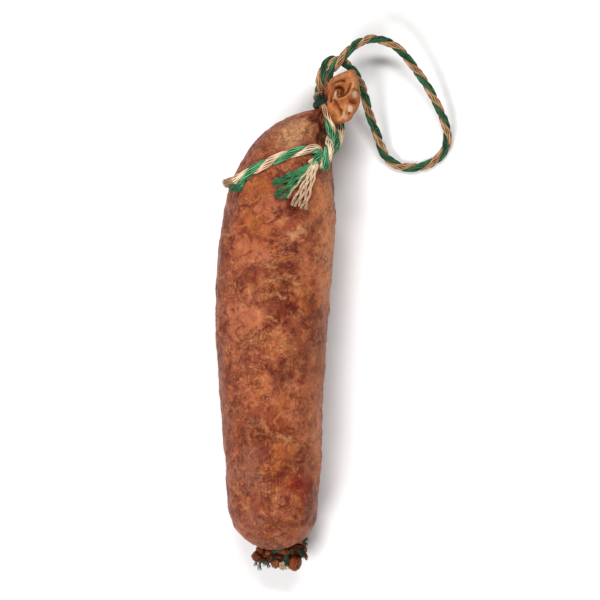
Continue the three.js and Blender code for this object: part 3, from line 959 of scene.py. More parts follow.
def skin_mesh(name, points, material):
    """A closed smooth mesh of a grid of points in millimetres."""
    rings, sides = points.shape[:2]
    cells = np.arange(rings * sides).reshape(rings, sides)
    nxt = np.roll(cells, -1, axis=1)
    quads = np.stack([cells[:-1], nxt[:-1], nxt[1:], cells[1:]], axis=-1).reshape(-1, 4)
    tip, tail = rings * sides, rings * sides + 1
    caps = [(tip, int(b), int(a)) for a, b in zip(cells[0], nxt[0])]
    caps += [(tail, int(a), int(b)) for a, b in zip(cells[-1], nxt[-1])]
    ends = np.array([points[0].mean(axis=0), points[-1].mean(axis=0)])
    mesh = bpy.data.meshes.new(name)
    mesh.from_pydata((np.vstack([points.reshape(-1, 3), ends]) * MM).tolist(), [], quads.tolist() + caps)
    mesh.materials.append(material)
    mesh.polygons.foreach_set("use_smooth", [True] * len(mesh.polygons))
    piece = bpy.data.objects.new(name, mesh)
    scene.collection.objects.link(piece)
    mesh.calc_loop_triangles()
    print(f"{name}: {len(mesh.loop_triangles)} triangles")
    return piece


def lumps(points, size, octaves=3, seed=0.0):
    """Noise of about -1 to 1 at each point, with blobs of size millimetres."""
    flat = points.reshape(-1, 3) / size + seed
    values = [noise.fractal(p, 0.9, 2.0, octaves) for p in flat.tolist()]
    return np.array(values).reshape(points.shape[:-1])


def near_line(points, line):
    """How far each point is from a drawn line, seen from above."""
    flat = points[..., :2]
    best = np.full(points.shape[:-1], 1e9)
    for a, b in zip(np.array(line, float), np.array(line[1:], float)):
        leg = b - a
        t = np.clip(((flat - a) @ leg) / (leg @ leg), 0, 1)
        best = np.minimum(best, np.linalg.norm(flat - a - t[..., None] * leg, axis=-1))
    return best


print("skin helpers ready")

# %% [markdown]
# ## The casing's finish
#
# Smoked casing is a satin, half clear skin over coarse meat and fat. Its colour
# is a brown ground with orange and amber where fat lies under it and dark red
# where lean meat does, and it is greyer where smoke has dried on it. The ground
# comes from noise of several sizes. The largest stains stand where they are on
# the real sausage: each one is an oval in the material, with its edge broken by
# noise. A few ovals are painted light and shade instead: highlights on the
# shoulder and the middle, a lighter right flank, a darker left edge and a shadow
# beside the twine at the neck. A photograph on the skin would show only the side
# that was seen, and this finish goes all the way round.
#
# Fine wrinkles run along the sausage in some places and across it in others, and
# the finish paints shade into them. Three numbers stored on the mesh steer the
# rest: `sunk` paints shade into the creases that the shape has, `proud` paints a
# highlight on its ridges, and `zone` says where pale threads stand up, partly
# pale fat and partly painted glints.

# %% Casing finish
# What the sheen adds to every colour, and how much brighter than its own colour
# the lights make the skin.
SHEEN, GAIN = 0.02, 1.2
DARKEST = 0.003


def under(red, green, blue):
    """The skin's own colour under its sheen, from the 0 to 255 values seen on it."""
    return tuple(max((c - SHEEN) / GAIN, DARKEST) for c in colour(red, green, blue)[:3]) + (1.0,)


GROUND = under(182, 106, 78)
BROWN = under(140, 70, 50)
ORANGE = under(182, 102, 62)
AMBER = under(208, 132, 84)
PALE = under(226, 168, 122)
CREAM = under(242, 206, 168)
DEEP_RED = under(100, 36, 30)
MAROON = under(60, 22, 18)
PURPLE = under(120, 56, 48)
GREY = under(152, 98, 80)
RED = under(148, 52, 34)
# The crease colour is painted shade in wrinkles, cracks and creases, and also dark specks; the ridge
# colour is a painted highlight on ridges and threads, partly pale fat, and also pale specks.
SPECK_AND_CREASE_SHADE = under(76, 34, 26)
SPECK_AND_RIDGE_HIGHLIGHT = under(244, 178, 124)

# Wide soft stains come first and small ones on top of them. Some are painted
# light: pale highlights on the shoulder and the middle, a lighter right flank, a
# darker left edge and a shadow beside the twine at the neck.
# Middle x and y, half width and height, turn, how strong, and the stain.
STAINS = [
    # This first wide oval is a smooth pale pink wash over the shoulder, which also paints the highlight
    # there.
    [2.0, 84.0, 15.0, 11.0, 25, 0.75, under(182, 120, 90)],
    [-3.0, -94.0, 18.0, 9.0, 0, 0.6, under(160, 88, 64)],
    [12.0, -40.0, 8.0, 34.0, 0, 0.5, under(182, 104, 70)],
    [13.0, 50.0, 8.0, 30.0, 0, 0.4, under(172, 104, 78)],
    [-20.0, -20.0, 8.0, 30.0, 0, 0.4, under(158, 92, 70)],
    # These two long pale ovals lighten the right flank: painted light.
    [20.0, 20.0, 7.0, 70.0, 4, 0.9, under(236, 150, 100)],
    [16.0, -50.0, 6.0, 44.0, 0, 0.85, under(228, 136, 88)],
    [-14.6, 59.6, 6.4, 8.0, 0, 0.8, ORANGE], [-13.6, 42.6, 7.0, 7.8, 0, 0.9, ORANGE],
    [-13.0, -28.4, 6.6, 6.4, 0, 0.7, ORANGE], [0.9, -34.2, 4.6, 4.4, 0, 0.6, ORANGE],
    [-4.7, -62.8, 4.6, 11.0, -42, 0.7, ORANGE], [4.0, -80.8, 3.6, 3.6, 0, 0.6, AMBER],
    [-7.4, -12.0, 9.0, 6.0, 20, 0.5, ORANGE], [10.0, 10.0, 6.0, 9.0, 0, 0.4, ORANGE],
    # The first oval on this line is a painted highlight.
    [3.6, 39.6, 5.0, 2.8, 20, 0.55, PALE], [-28.0, -40.0, 2.4, 1.8, 0, 0.5, PALE],
    [-0.5, -54.2, 3.6, 1.8, 0, 0.6, PALE], [12.6, -53.0, 3.4, 1.6, 0, 0.5, PALE],
    # The first oval on each of the next two lines is a painted highlight on the shoulder.
    [1.5, 82.0, 7.0, 5.0, 20, 0.7, PALE], [-3.0, 28.0, 8.0, 2.4, -20, 0.4, AMBER],
    [5.0, 88.0, 8.0, 5.0, 30, 0.55, PALE], [3.0, 67.0, 7.0, 3.4, 20, 0.5, GREY],
    [-10.0, 78.0, 6.0, 6.0, 0, 0.4, ORANGE], [4.0, 14.0, 6.0, 3.4, 10, 0.5, AMBER],
    [1.6, 50.2, 5.6, 5.6, 0, 0.8, DEEP_RED], [1.0, 32.8, 4.2, 3.6, 0, 0.8, DEEP_RED],
    [-4.0, 56.0, 10.0, 3.0, -10, 0.6, DEEP_RED], [14.0, 30.0, 4.0, 12.0, 0, 0.3, PURPLE],
    [-14.8, 22.4, 8.0, 5.4, 10, 0.65, PURPLE], [-4.1, 7.1, 9.0, 4.6, 0, 0.65, PURPLE],
    [0.0, 24.0, 7.0, 3.6, 0, 0.6, PURPLE], [3.0, 5.0, 3.4, 4.0, 0, 0.5, DEEP_RED],
    [-4.7, -21.2, 7.0, 4.6, 0, 0.6, PURPLE], [-4.8, -28.4, 4.0, 4.6, 0, 0.6, PURPLE],
    [-18.0, -18.0, 6.0, 3.4, 0, 0.55, PURPLE], [12.0, -22.0, 5.0, 4.6, 0, 0.3, PURPLE],
    [-16.8, -66.4, 6.4, 14.0, 0, 0.65, GREY], [-16.0, -88.6, 5.6, 6.6, 0, 0.6, GREY],
    [-15.0, -45.4, 4.6, 2.4, 0, 0.65, GREY], [5.8, -75.2, 5.4, 9.6, 0, 0.85, RED],
    [3.6, -73.6, 2.4, 2.2, 0, 0.8, RED], [13.0, 92.6, 4.4, 4.6, 0, 0.85, DEEP_RED],
    # The first oval on this line is a painted shadow beside the twine at the neck, over a real pleat.
    [14.9, 86.0, 2.8, 10.0, 0, 0.95, MAROON], [-30.0, 34.0, 4.4, 44.0, 0, 0.6, under(132, 66, 38)],
    # The second oval on the line above and the first on this one are painted shade that darkens the left
    # edge.
    [-29.0, -40.0, 4.4, 44.0, 0, 0.6, under(132, 66, 36)], [-22.0, 74.0, 4.0, 10.0, -30, 0.5, BROWN],
]

print(len(STAINS), "stains on the body")

# %% [markdown]
# ## From stains to a material
#
# A Mapping node turns each oval into a unit ball round the middle of the stain,
# and how far a point is from it says how strong the stain is. Before that the
# point is pushed about by noise, which breaks the edge. A line is where a noise
# crosses its middle value, which gives thin crooked wrinkles for the price of
# one texture.

# %% Casing material
# How far down a stain reaches, and the noise that breaks its edge, for each metre.
STAIN_DEPTH, EDGE_NOISE = 36.0, 170.0
# A stain is whole out to the first share of its size and has gone at the second.
STAIN_EDGE = (0.3, 1.25)


def stained(make, place, ground, rows, ragged, top):
    """The ground with each stain mixed in, its edge broken up."""
    sockets = {"Vector": place, "Scale": EDGE_NOISE, "Detail": 3.0, "Roughness": 0.5}
    drift = make.add("ShaderNodeTexNoise", sockets, out=1)
    drift = make.add("ShaderNodeVectorMath", {0: drift, 1: (0.5, 0.5, 0.5)}, operation="SUBTRACT")
    broken = place + drift * (ragged * MM)
    for x, y, half_width, half_height, turn, strong, tint in rows:
        sockets = {
            "Vector": broken,
            "Location": Vector((x, y, top)) * MM,
            "Rotation": (0.0, 0.0, math.radians(turn)),
            "Scale": Vector((half_width, half_height, STAIN_DEPTH)) * MM,
        }
        inside = make.add("ShaderNodeMapping", sockets, vector_type="TEXTURE")
        far = make.add("ShaderNodeVectorMath", {0: inside}, 1, operation="LENGTH")
        ground = make.mix(make.smooth(far, *STAIN_EDGE, strong, 0.0), ground, tint)
    return ground


def tinted(make, base, rows):
    """The base with each tint mixed in where a noise goes from one level to another."""
    for level, start, end, strong, tint in rows:
        base = make.mix(make.smooth(level, start, end, 0.0, strong), base, tint)
    return base


def winding_lines(make, place, size, width, stretch=(1.0, 1.0, 1.0)):
    """Thin crooked lines, 1 on a line and 0 beside it."""
    level = make.grain(place * stretch, size, 3.0, 0.55, 1.2)
    return make.smooth(make.maths("ABSOLUTE", level - 0.5), 0.0, width, 1.0, 0.0)


WRINKLE_SIZE, WRINKLE_WIDTH = 1.7, 0.05
ALONG, ACROSS = (1.0, 0.4, 1.0), (0.45, 1.0, 1.0)


def fine_wrinkles(make, place):
    """Wrinkle lines for painted shade, lengthwise in some places and crosswise in others."""
    lengthwise = make.smooth(make.grain(place, 14.0, 1.0), 0.44, 0.56)
    here = make.smooth(make.grain(place + (0.5, 0.1, 0.4), 11.0, 2.0), 0.46, 0.58) * 0.8 + 0.12
    down = winding_lines(make, place, WRINKLE_SIZE, WRINKLE_WIDTH, ALONG)
    over = winding_lines(make, place + (0.2, 0.5, 0.1), WRINKLE_SIZE, WRINKLE_WIDTH, ACROSS)
    return (down * lengthwise + over * (1.0 - lengthwise)) * here


BUMP_HEIGHT = 0.5 * MM


def casing_finish(name, rows, ragged=14.0, top=44.0, shades=(GROUND, BROWN, ORANGE), grainy=1.0):
    """The satin smoked skin: its stains, how ragged and how high they are, and its shades."""
    material, make, place, shader = finish(name)
    shader.inputs["Specular IOR Level"].default_value = 0.12
    ground, dark, warm = shades
    broad = make.grain(place, 26.0, 2.0, 0.5, 0.8)
    mid = make.grain(place, 10.0, 2.0, 0.5, 1.6)
    meaty = make.grain(place + (0.4, 0.2, 0.1), 8.0, 2.0, 0.5, 1.6)
    small = make.grain(place, 3.4, 3.0, 0.6, 0.8)
    grit = make.grain(place + (0.3, 0.1, 0.2), 1.1, 2.0, 0.6)
    base = make.mix(make.smooth(broad, 0.38, 0.62), dark, ground)
    blotches = [
        (mid, 0.5, 0.68, 0.5 * grainy, warm),
        (meaty, 0.48, 0.36, 0.8 * grainy, PURPLE),
        (meaty, 0.54, 0.68, 0.5 * grainy, AMBER),
    ]
    specks = [
        (small, 0.48, 0.3, 0.26 * grainy, SPECK_AND_CREASE_SHADE),
        (small, 0.54, 0.72, 0.26 * grainy, PALE),
        (grit, 0.48, 0.32, 0.16, SPECK_AND_CREASE_SHADE),
        (grit, 0.56, 0.75, 0.14, SPECK_AND_RIDGE_HIGHLIGHT),
    ]
    base = stained(make, place, tinted(make, base, blotches), rows, ragged, top)
    base = tinted(make, base, specks)

    sunk = make.add("ShaderNodeAttribute", out=2, attribute_name="sunk")
    proud = make.add("ShaderNodeAttribute", out=2, attribute_name="proud")
    zone = make.add("ShaderNodeAttribute", out=2, attribute_name="zone")
    cracked = make.smooth(make.grain(place, 15.0, 2.0), 0.46, 0.6)
    cracks = winding_lines(make, place, 5.0, 0.02) * cracked * grainy
    wrinkles = fine_wrinkles(make, place) * grainy
    threads = winding_lines(make, place + (0.7, 0.2, 0.5), 3.6, 0.03, (0.6, 1.3, 1.0))
    threads = threads * (zone * 0.9 + 0.1)
    # Painted shade goes into the wrinkles, cracks and sunk creases, and a painted highlight onto the
    # threads and proud ridges.
    base = make.mix(wrinkles * 0.4, base, SPECK_AND_CREASE_SHADE)
    base = make.mix(cracks * 0.55, base, SPECK_AND_CREASE_SHADE)
    base = make.mix(threads * 0.4, base, SPECK_AND_RIDGE_HIGHLIGHT)
    base = make.mix(sunk * 0.9, base, SPECK_AND_CREASE_SHADE)
    base = make.mix(proud * 0.6, base, SPECK_AND_RIDGE_HIGHLIGHT)
    plug(make, shader, Base_Color=base)
    plug(make, shader, Roughness=0.28 + mid * 0.16 + small * 0.12)
    height = grit * 0.3 + small * (0.9 * grainy) + mid * 1.2 + threads * 0.8
    height = height - cracks * 0.6 - wrinkles * 0.7
    bump = make.add("ShaderNodeBump", {"Strength": 0.9, "Distance": BUMP_HEIGHT, "Height": height})
    plug(make, shader, Normal=bump)
    return material


CASING = casing_finish("casing", STAINS)
print("casing tree has", len(CASING.node_tree.nodes), "nodes")

# %% [markdown]
# ## The body
#
# A long swelling follows the meat and the skin is pleated towards the neck.
# Dried casing shrinks into fine folds, most of them in patches, so each patch
# is an oval in which winding threads stand up. Near the lower end the folds lie
# side by side like furrows. The folds that can be told apart are drawn as lines
# from above, and noise bends and breaks them. The rings have more points on
# top, where the folds are. Sculpting would do as well, but numbers can be
# changed later.

# %% Body tables
# Each crease: how high in millimetres, how wide, and the line it follows.
CREASES = [
    [-0.28, 0.7, [(-22.4, -51.6), (-15.0, -51.4), (-11.0, -51.8), (-6.4, -52.8)]],
    [-0.28, 0.6, [(-21.4, -45.4), (-17.6, -45.6), (-14.4, -46.0)]],
    [0.26, 0.5, [(-15.4, 31.0), (-14.4, 29.6)]],
    [0.26, 0.5, [(-17.2, 26.8), (-14.6, 26.6)]],
    [0.32, 0.6, [(-12.2, 28.8), (-11.4, 26.2), (-9.0, 25.4), (-6.6, 23.8), (-5.0, 24.2)]],
    [0.26, 0.5, [(-3.6, 19.8), (-0.8, 19.0)]],
    [0.28, 0.5, [(0.0, 20.4), (4.0, 20.6)]],
    [0.30, 0.6, [(1.2, 17.8), (4.0, 16.6), (6.8, 17.2)]],
    [-0.34, 0.7, [(-13.2, 17.0), (-7.6, 21.4)]],
    [-0.30, 0.7, [(-21.2, 14.2), (-14.8, 17.8)]],
    [0.30, 0.5, [(-17.6, 13.8), (-16.4, 10.6)]],
    [0.32, 0.6, [(-6.4, 13.4), (-4.0, 12.6), (-3.2, 10.6), (-1.2, 10.2)]],
    [0.30, 0.6, [(-10.8, 2.6), (-7.6, 1.8), (-5.2, -0.2)]],
    [-0.50, 0.5, [(6.2, 5.4), (7.4, 4.6), (8.6, 1.8)]],
    [0.28, 0.4, [(5.4, 5.4), (6.6, 4.2), (7.6, 1.4)]],
    [0.24, 0.5, [(9.6, 11.0), (8.8, 8.2)]],
    [0.24, 0.6, [(12.8, 28.8), (11.2, 26.2), (12.4, 24.2), (10.2, 21.4)]],
    [0.26, 0.7, [(-28.2, 39.0), (-25.6, 38.4)]],
    [-0.22, 0.9, [(12.0, 95.0), (9.6, 90.6), (7.8, 84.0)]],
    [-0.70, 0.9, [(15.6, 94.4), (15.2, 88.4), (15.6, 80.0)]],
    [-0.14, 0.8, [(7.8, 94.2), (3.4, 90.4), (-0.6, 85.4)]],
    [0.10, 0.7, [(13.6, 94.6), (12.2, 90.4), (12.2, 86.0)]],
]
# Where the casing has dried into fine folds: ovals as in the stains, and how strongly.
WRINKLED = [
    [-8.0, 26.0, 4.1, 3.2, 0, 1.0], [-1.3, 19.3, 6.8, 3.2, -5, 1.0], [-5.8, 12.2, 5.9, 2.7, 0, 0.9],
    [-2.2, -10.6, 6.8, 5.9, 20, 1.0], [-18.3, -8.9, 5.9, 4.1, 30, 0.6], [11.2, -13.8, 5.9, 4.1, 0, 0.35],
    [0.1, -24.1, 5.9, 6.3, 0, 0.5], [-15.2, -45.1, 4.5, 2.7, 0, 0.6], [-11.1, -51.3, 11.3, 1.8, 0, 0.6],
    [0.9, -55.8, 3.6, 2.7, 0, 0.9], [12.6, -51.8, 2.7, 2.3, 0, 0.9], [4.1, 76.6, 4.5, 4.1, 0, 0.5],
    [5.4, 36.3, 4.1, 2.7, 0, 0.6], [-11.6, -71.0, 2.7, 7.2, 0, 0.5], [1.6, 84.0, 7.0, 4.6, 20, 0.4],
]
# Where the folds lie side by side, and how far apart they are.
LONG_FOLDS = [[-8.0, -77.5, 6.5, 13.5, 0, 1.0]]
FOLD_SPACING = 1.5
LINE_WIDTH = 0.7
TOP_CROWDING = 0.4
BODY_RINGS, BODY_SIDES = 430, 216
print(len(CREASES), "drawn creases and", len(WRINKLED), "wrinkled patches")

# %% [markdown]
# ## Folding the skin
#
# Every fold is a height in millimetres, added along the normals of the smooth
# loft. What is sunk or proud is kept on the mesh too, so that the finish paints
# shade into the creases and a highlight onto the ridges, which the soft light
# alone hardly shows.

# %% Folded body
def body_relief(a, y, size):
    """The long swelling and the pleats at both ties, as on the solid."""
    fade = np.clip((96 - y) / 30, 0, 1) * np.clip((y + 104) / 24, 0, 1)
    swell = 0.28 * np.sin(3 * a + 0.071 * y) * np.sin(0.105 * y + 1)
    swell = swell + 0.22 * np.sin(2 * a - 0.047 * y + 2)
    upper, lower = np.exp(-(((y - 93) / 5) ** 2)), np.exp(-(((y + 103) / 4) ** 2))
    pleats = 0.07 * np.minimum(size, 6) * np.cos(9 * a + 0.6) * (upper + 0.7 * lower)
    return fade * swell + pleats


def creased(points, creases):
    """The height of all drawn creases, and how sunk and proud each point is."""
    height, sunk, proud = (np.zeros(points.shape[:-1]) for _ in range(3))
    for rise, wide, line in creases:
        soft = np.exp(-((near_line(points, line) / (LINE_WIDTH * wide)) ** 2))
        height += rise * soft
        if rise < 0:
            sunk = np.maximum(sunk, soft * min(1, -rise / 0.5))
        else:
            proud = np.maximum(proud, soft * min(1, rise / 0.32))
    return height, sunk, proud


def ovals(points, rows):
    """The strongest of some soft ovals at each point, seen from above."""
    best = np.zeros(points.shape[:-1])
    for x, y, half_width, half_height, turn, strong in rows:
        c, s = math.cos(math.radians(turn)), math.sin(math.radians(turn))
        dx, dy = points[..., 0] - x, points[..., 1] - y
        far = np.hypot((dx * c + dy * s) / half_width, (dy * c - dx * s) / half_height)
        best = np.maximum(best, strong * np.clip((1.35 - far) / 0.7, 0, 1))
    return best


def winding_ridges(points, size, width, octaves=3, seed=0.0):
    """Thin winding lines: 1 on a line and 0 away from it."""
    return np.exp(-((lumps(points, size, octaves, seed) / width) ** 2))


def paint(mesh, **values):
    """Stores numbers on the points of a mesh, for the finish to read."""
    for name, numbers in values.items():
        flat = np.zeros(len(mesh.vertices))
        flat[: numbers.size] = np.clip(numbers, 0, 1).ravel()
        mesh.attributes.new(name, "FLOAT", "POINT").data.foreach_set("value", flat)


def furrowed(points, facing_up):
    """1 along the furrows of the long folds and 0 between them."""
    sway = 1.1 * lumps(points * np.array([1.0, 0.35, 1.0]), 4.5, 2, 3.0)
    across = points[..., 0] + sway + 0.5 * lumps(points, 2.4, 1, 12.0)
    furrows = (0.5 + 0.5 * np.cos(2 * np.pi * across / FOLD_SPACING)) ** 2
    furrows = furrows * ovals(points, LONG_FOLDS) * facing_up
    return furrows * np.clip(0.7 + lumps(points, 5.0, 2, 31.0), 0, 1)


def drawn_folds(points, facing_up):
    """The drawn creases, bent and broken: their height, and how sunk and proud they are."""
    wobble = np.stack([lumps(points, 2.6, 2, 5.0), lumps(points, 2.6, 2, 15.0)], axis=-1)
    broken = np.clip(0.75 + 0.8 * lumps(points, 3.0, 2, 25.0), 0.1, 1.0) * facing_up
    return (broken * values for values in creased(points[..., :2] + 0.8 * wobble, CREASES))


def body_skin(points):
    """The relief of the body in millimetres and the numbers that its finish reads."""
    normals = grid_normals(points)
    facing_up = np.clip(normals[..., 2] * 2.0, 0, 1)
    # The skin is stretched smooth where it goes under the neck tie.
    calm = np.clip((97.0 - points[..., 1]) / 8.0, 0.0, 1.0)
    zone = ovals(points, WRINKLED) * facing_up
    raised = winding_ridges(points * np.array([0.6, 1.3, 1.0]), 4.0, 0.11, 3, 4.0) * (zone + 0.06)
    cracks = winding_ridges(points, 7.0, 0.05, 3, 8.0)
    cracks = cracks * np.clip(0.5 + lumps(points, 25.0, 2, 6.0), 0, 1)
    furrows = furrowed(points, facing_up)
    drawn, sunk, proud = drawn_folds(points, facing_up)
    relief = 0.6 * lumps(points, 11.0, 3, 2.0) + 0.3 * lumps(points, 4.0, 3, 9.0)
    relief += 0.1 * lumps(points * np.array([1.0, 0.45, 1.0]), 1.7, 3, 5.0)
    relief += 0.34 * raised - 0.2 * cracks - 0.2 * furrows
    points = points + normals * (relief * calm + drawn)[..., None]
    # It rests flat on the table.
    points[..., 2] = np.maximum(points[..., 2], 0.0)
    # `sunk` becomes painted shade in the creases, cracks and furrows, and `proud` a painted highlight on
    # the ridges and threads.
    sunk = np.maximum(sunk, np.maximum(0.6 * cracks, 0.5 * furrows) * calm)
    return points, {"sunk": sunk, "proud": np.maximum(proud, raised * 0.5), "zone": zone}


body_loft = skin_grid(BODY, BODY_RINGS, BODY_SIDES, 0.5, body_relief, TOP_CROWDING)
body_points, body_marks = body_skin(body_loft)
body = skin_mesh("casing_body", body_points, CASING)
paint(body.data, **body_marks)
dress(body, "casing", "sausage")

# %% [markdown]
# ## The nub
#
# Above the tie the spare casing is folded over into a nub, with a curled roll
# round a hollow. It is lofted as the body is, and its rolls and hollows are lines
# pressed into it from above, with painted shade in the hollow and fine creases
# and a painted highlight on the rolls. The skin is doubled here, so it is more
# orange than the body, with pale patches where fat stuck to it.

# %% Nub
NUB_CREASES = [
    [-0.90, 0.7, [(19.7, 106.2), (20.6, 107.2), (22.2, 107.8), (24.0, 108.1), (25.6, 107.8)]],
    [-2.20, 1.0, [
        (19.4, 102.0), (20.0, 103.4), (21.2, 104.4), (22.9, 104.9), (24.2, 104.3), (24.5, 103.2),
        (24.0, 101.9),
    ]],
    [1.10, 0.9, [(21.6, 103.3), (21.6, 102.0), (21.0, 100.7), (20.5, 99.6)]],
    [-1.20, 0.7, [(22.6, 102.9), (22.4, 101.4)]],
    [-1.20, 0.9, [(19.1, 101.6), (19.0, 100.0), (19.2, 98.7)]],
    [-0.90, 0.6, [
        (22.3, 100.5), (23.8, 100.8), (25.4, 101.5), (26.8, 102.9), (27.8, 104.7), (28.4, 106.7),
    ]],
    [0.70, 0.8, [(22.9, 99.7), (25.5, 100.3), (27.6, 102.0), (28.9, 104.9), (29.3, 107.4)]],
    [0.50, 1.6, [(21.6, 109.2), (24.7, 111.0), (27.8, 111.2), (30.1, 108.5), (30.7, 105.4)]],
    [-1.00, 0.7, [(20.8, 99.0), (21.8, 97.2), (22.7, 95.2), (23.5, 94.1)]],
    [-1.70, 0.8, [(23.0, 94.6), (24.0, 94.0)]],
    [-1.50, 0.7, [(24.0, 93.0), (24.2, 92.0)]],
    [-1.00, 0.6, [(27.6, 93.2), (28.0, 92.9)]],
    [-0.35, 0.6, [(29.4, 104.4), (30.7, 103.8), (31.6, 103.2)]],
    [-0.30, 0.8, [(27.2, 99.7), (28.3, 98.3), (30.7, 97.6)]],
    [0.70, 0.9, [(25.8, 97.3), (25.9, 95.1), (24.9, 92.8), (23.8, 90.4)]],
    [0.70, 1.0, [(21.6, 94.2), (22.6, 92.5), (22.9, 90.4)]],
]
NUB_STAINS = [
    [19.5, 95.3, 2.2, 3.0, 0, 0.7, AMBER], [23.1, 91.1, 2.2, 2.5, 0, 0.7, AMBER],
    [26.9, 109.4, 3.6, 2.6, 0, 0.5, AMBER], [20.4, 104.7, 1.8, 1.8, 0, 0.5, BROWN],
    [30.1, 101.7, 1.8, 1.8, 0, 0.9, CREAM], [27.8, 95.4, 2.1, 2.0, 20, 0.85, CREAM],
    [25.4, 92.1, 1.6, 1.9, 30, 0.7, CREAM], [21.6, 101.6, 0.8, 2.0, 0, 0.7, CREAM],
    [28.9, 106.3, 0.9, 2.4, 0, 0.5, PALE], [29.2, 98.7, 2.4, 1.3, 0, 0.8, RED],
    [21.2, 97.3, 1.1, 1.3, 0, 0.6, PURPLE],
]


NUB_SHADES = (under(188, 116, 70), under(168, 96, 56), under(212, 140, 88))
NUB_RINGS, NUB_SIDES = 130, 128


def nub_relief(a, y, size):
    """The nub's own folds round its outline, as on the solid."""
    return 0.06 * size * np.cos(5 * a + 0.35 * (y - 100)) - 0.03 * size * np.cos(8 * a - 0.5 * (y - 100))


def nub_skin(points):
    """The nub's rolls and hollows, and the numbers that its finish reads."""
    normals = grid_normals(points)
    facing_up = np.clip(normals[..., 2] * 1.6, 0, 1)
    drawn, sunk, proud = creased(points, NUB_CREASES)
    fine = winding_ridges(points * np.array([1.0, 1.0, 0.6]), 3.4, 0.05, 3, 2.0)
    relief = 0.3 * lumps(points, 6.0, 2, 3.0) + 0.06 * lumps(points, 1.4, 2, 7.0)
    relief += drawn * facing_up - 0.1 * fine
    # `sunk` is painted shade in the hollows and fine creases, and `proud` a painted highlight on the
    # rolls.
    sunk = np.maximum(sunk * facing_up, 0.25 * fine)
    return points + normals * relief[..., None], {"sunk": sunk, "proud": proud * facing_up * 0.5}


nub_points, nub_marks = nub_skin(skin_grid(NUB, NUB_RINGS, NUB_SIDES, 0.5, nub_relief))
nub_finish = casing_finish("nub_casing", NUB_STAINS, 2.6, 41.0, NUB_SHADES, 0.35)
nub = skin_mesh("casing_nub", nub_points, nub_finish)
paint(nub.data, **nub_marks)
dress(nub, "casing", "sausage")

# %% [markdown]
# ## The gathered end
#
# Below the second tie the casing ruffles out into lobes, like a dried grape and
# its neighbours. Balls pulled out of round are merged into one skin by a voxel
# remesh, which makes natural valleys where they meet, and then wrinkled. A
# point is in a valley where a second ball's surface is near, which is what
# `sunk` is made of here, and the finish paints shade into the valleys and
# pleats. The largest lobe is pleated lengthwise.

# %% Lobe tables
# Middle x, y and z, half sizes and turn of each lobe.
LOBES = [
    [-13.8, -106.6, 16.2, 2.7, 2.9, 4.0, 15], [-12.4, -104.4, 15.6, 2.6, 2.4, 4.4, -30],
    [-11.6, -108.2, 16.0, 2.0, 1.7, 3.4, -25], [-9.6, -105.4, 16.0, 2.4, 2.4, 4.2, 0],
    [-8.8, -105.6, 18.0, 1.9, 1.2, 2.2, 20], [-5.4, -109.6, 16.8, 2.6, 2.6, 3.0, 10],
    [-2.8, -110.4, 16.6, 2.2, 2.4, 3.0, 0], [-1.0, -107.4, 15.6, 2.4, 3.0, 3.6, 0],
    [-5.6, -104.6, 14.6, 4.6, 2.6, 4.8, 0], [-1.2, -104.4, 20.6, 2.3, 1.5, 2.6, -15],
    [2.9, -109.3, 17.0, 3.5, 4.0, 4.8, 0], [3.6, -103.6, 15.6, 3.6, 2.8, 4.4, 20],
    [5.6, -100.6, 17.2, 2.8, 2.2, 2.6, -20], [7.3, -103.6, 17.0, 1.6, 2.0, 2.2, 0],
    [7.5, -105.8, 16.8, 1.1, 1.4, 1.5, -10], [8.3, -107.1, 16.8, 0.7, 1.2, 0.9, -10],
    [-5.0, -106.6, 14.4, 9.4, 3.4, 4.2, 0], [1.6, -105.4, 14.8, 6.0, 4.0, 4.6, 0],
    [-8.6, -104.6, 19.4, 2.6, 1.3, 2.6, 25], [3.4, -102.8, 18.6, 3.4, 1.6, 3.4, 15],
    [-6.8, -102.0, 13.0, 5.0, 6.0, 5.6, 0], [0.0, -100.0, 13.0, 5.0, 6.0, 5.6, 0],
]
GATHER_STAINS = [
    [-13.4, -105.6, 3.4, 4.6, 20, 0.6, under(140, 76, 36)], [-11.0, -108.0, 2.0, 1.4, -20, 0.6, MAROON],
    [3.0, -109.6, 3.4, 4.4, 0, 0.7, under(150, 78, 48)], [2.4, -112.6, 3.4, 1.0, 0, 0.7, ORANGE],
    [-5.3, -109.9, 2.8, 2.6, 0, 0.85, under(170, 112, 76)], [-2.6, -111.0, 1.9, 2.4, 0, 0.7, CREAM],
    [5.8, -100.4, 3.0, 1.6, 10, 0.8, under(176, 124, 88)],
    [8.3, -107.2, 1.2, 1.8, 0, 0.6, under(176, 110, 66)],
    [-1.0, -104.1, 2.3, 1.7, 0, 0.75, under(170, 96, 46)],
    [-8.8, -105.6, 2.0, 1.3, 20, 0.8, under(186, 116, 62)],
    [-5.6, -105.2, 3.4, 2.0, 0, 0.95, MAROON], [3.8, -103.6, 3.4, 2.0, 10, 0.9, MAROON],
]


GATHER_SHADES = (under(132, 66, 38), under(96, 42, 26), AMBER)
GATHER_VOXEL = 0.3
PLEAT_SPACING = 1.3
# The pleated lobe is right of the first number and below the second.
PLEATED_FROM = (0.5, -105.5)
GATHER_ZONE = 0.3
print(len(LOBES), "lobes at the gathered end")

# %% [markdown]
# ## Merging the lobes
#
# A voxel remesh keeps only the outside of the balls. Metaballs would merge them
# too, but their valleys come out round, and dried casing has sharp ones.

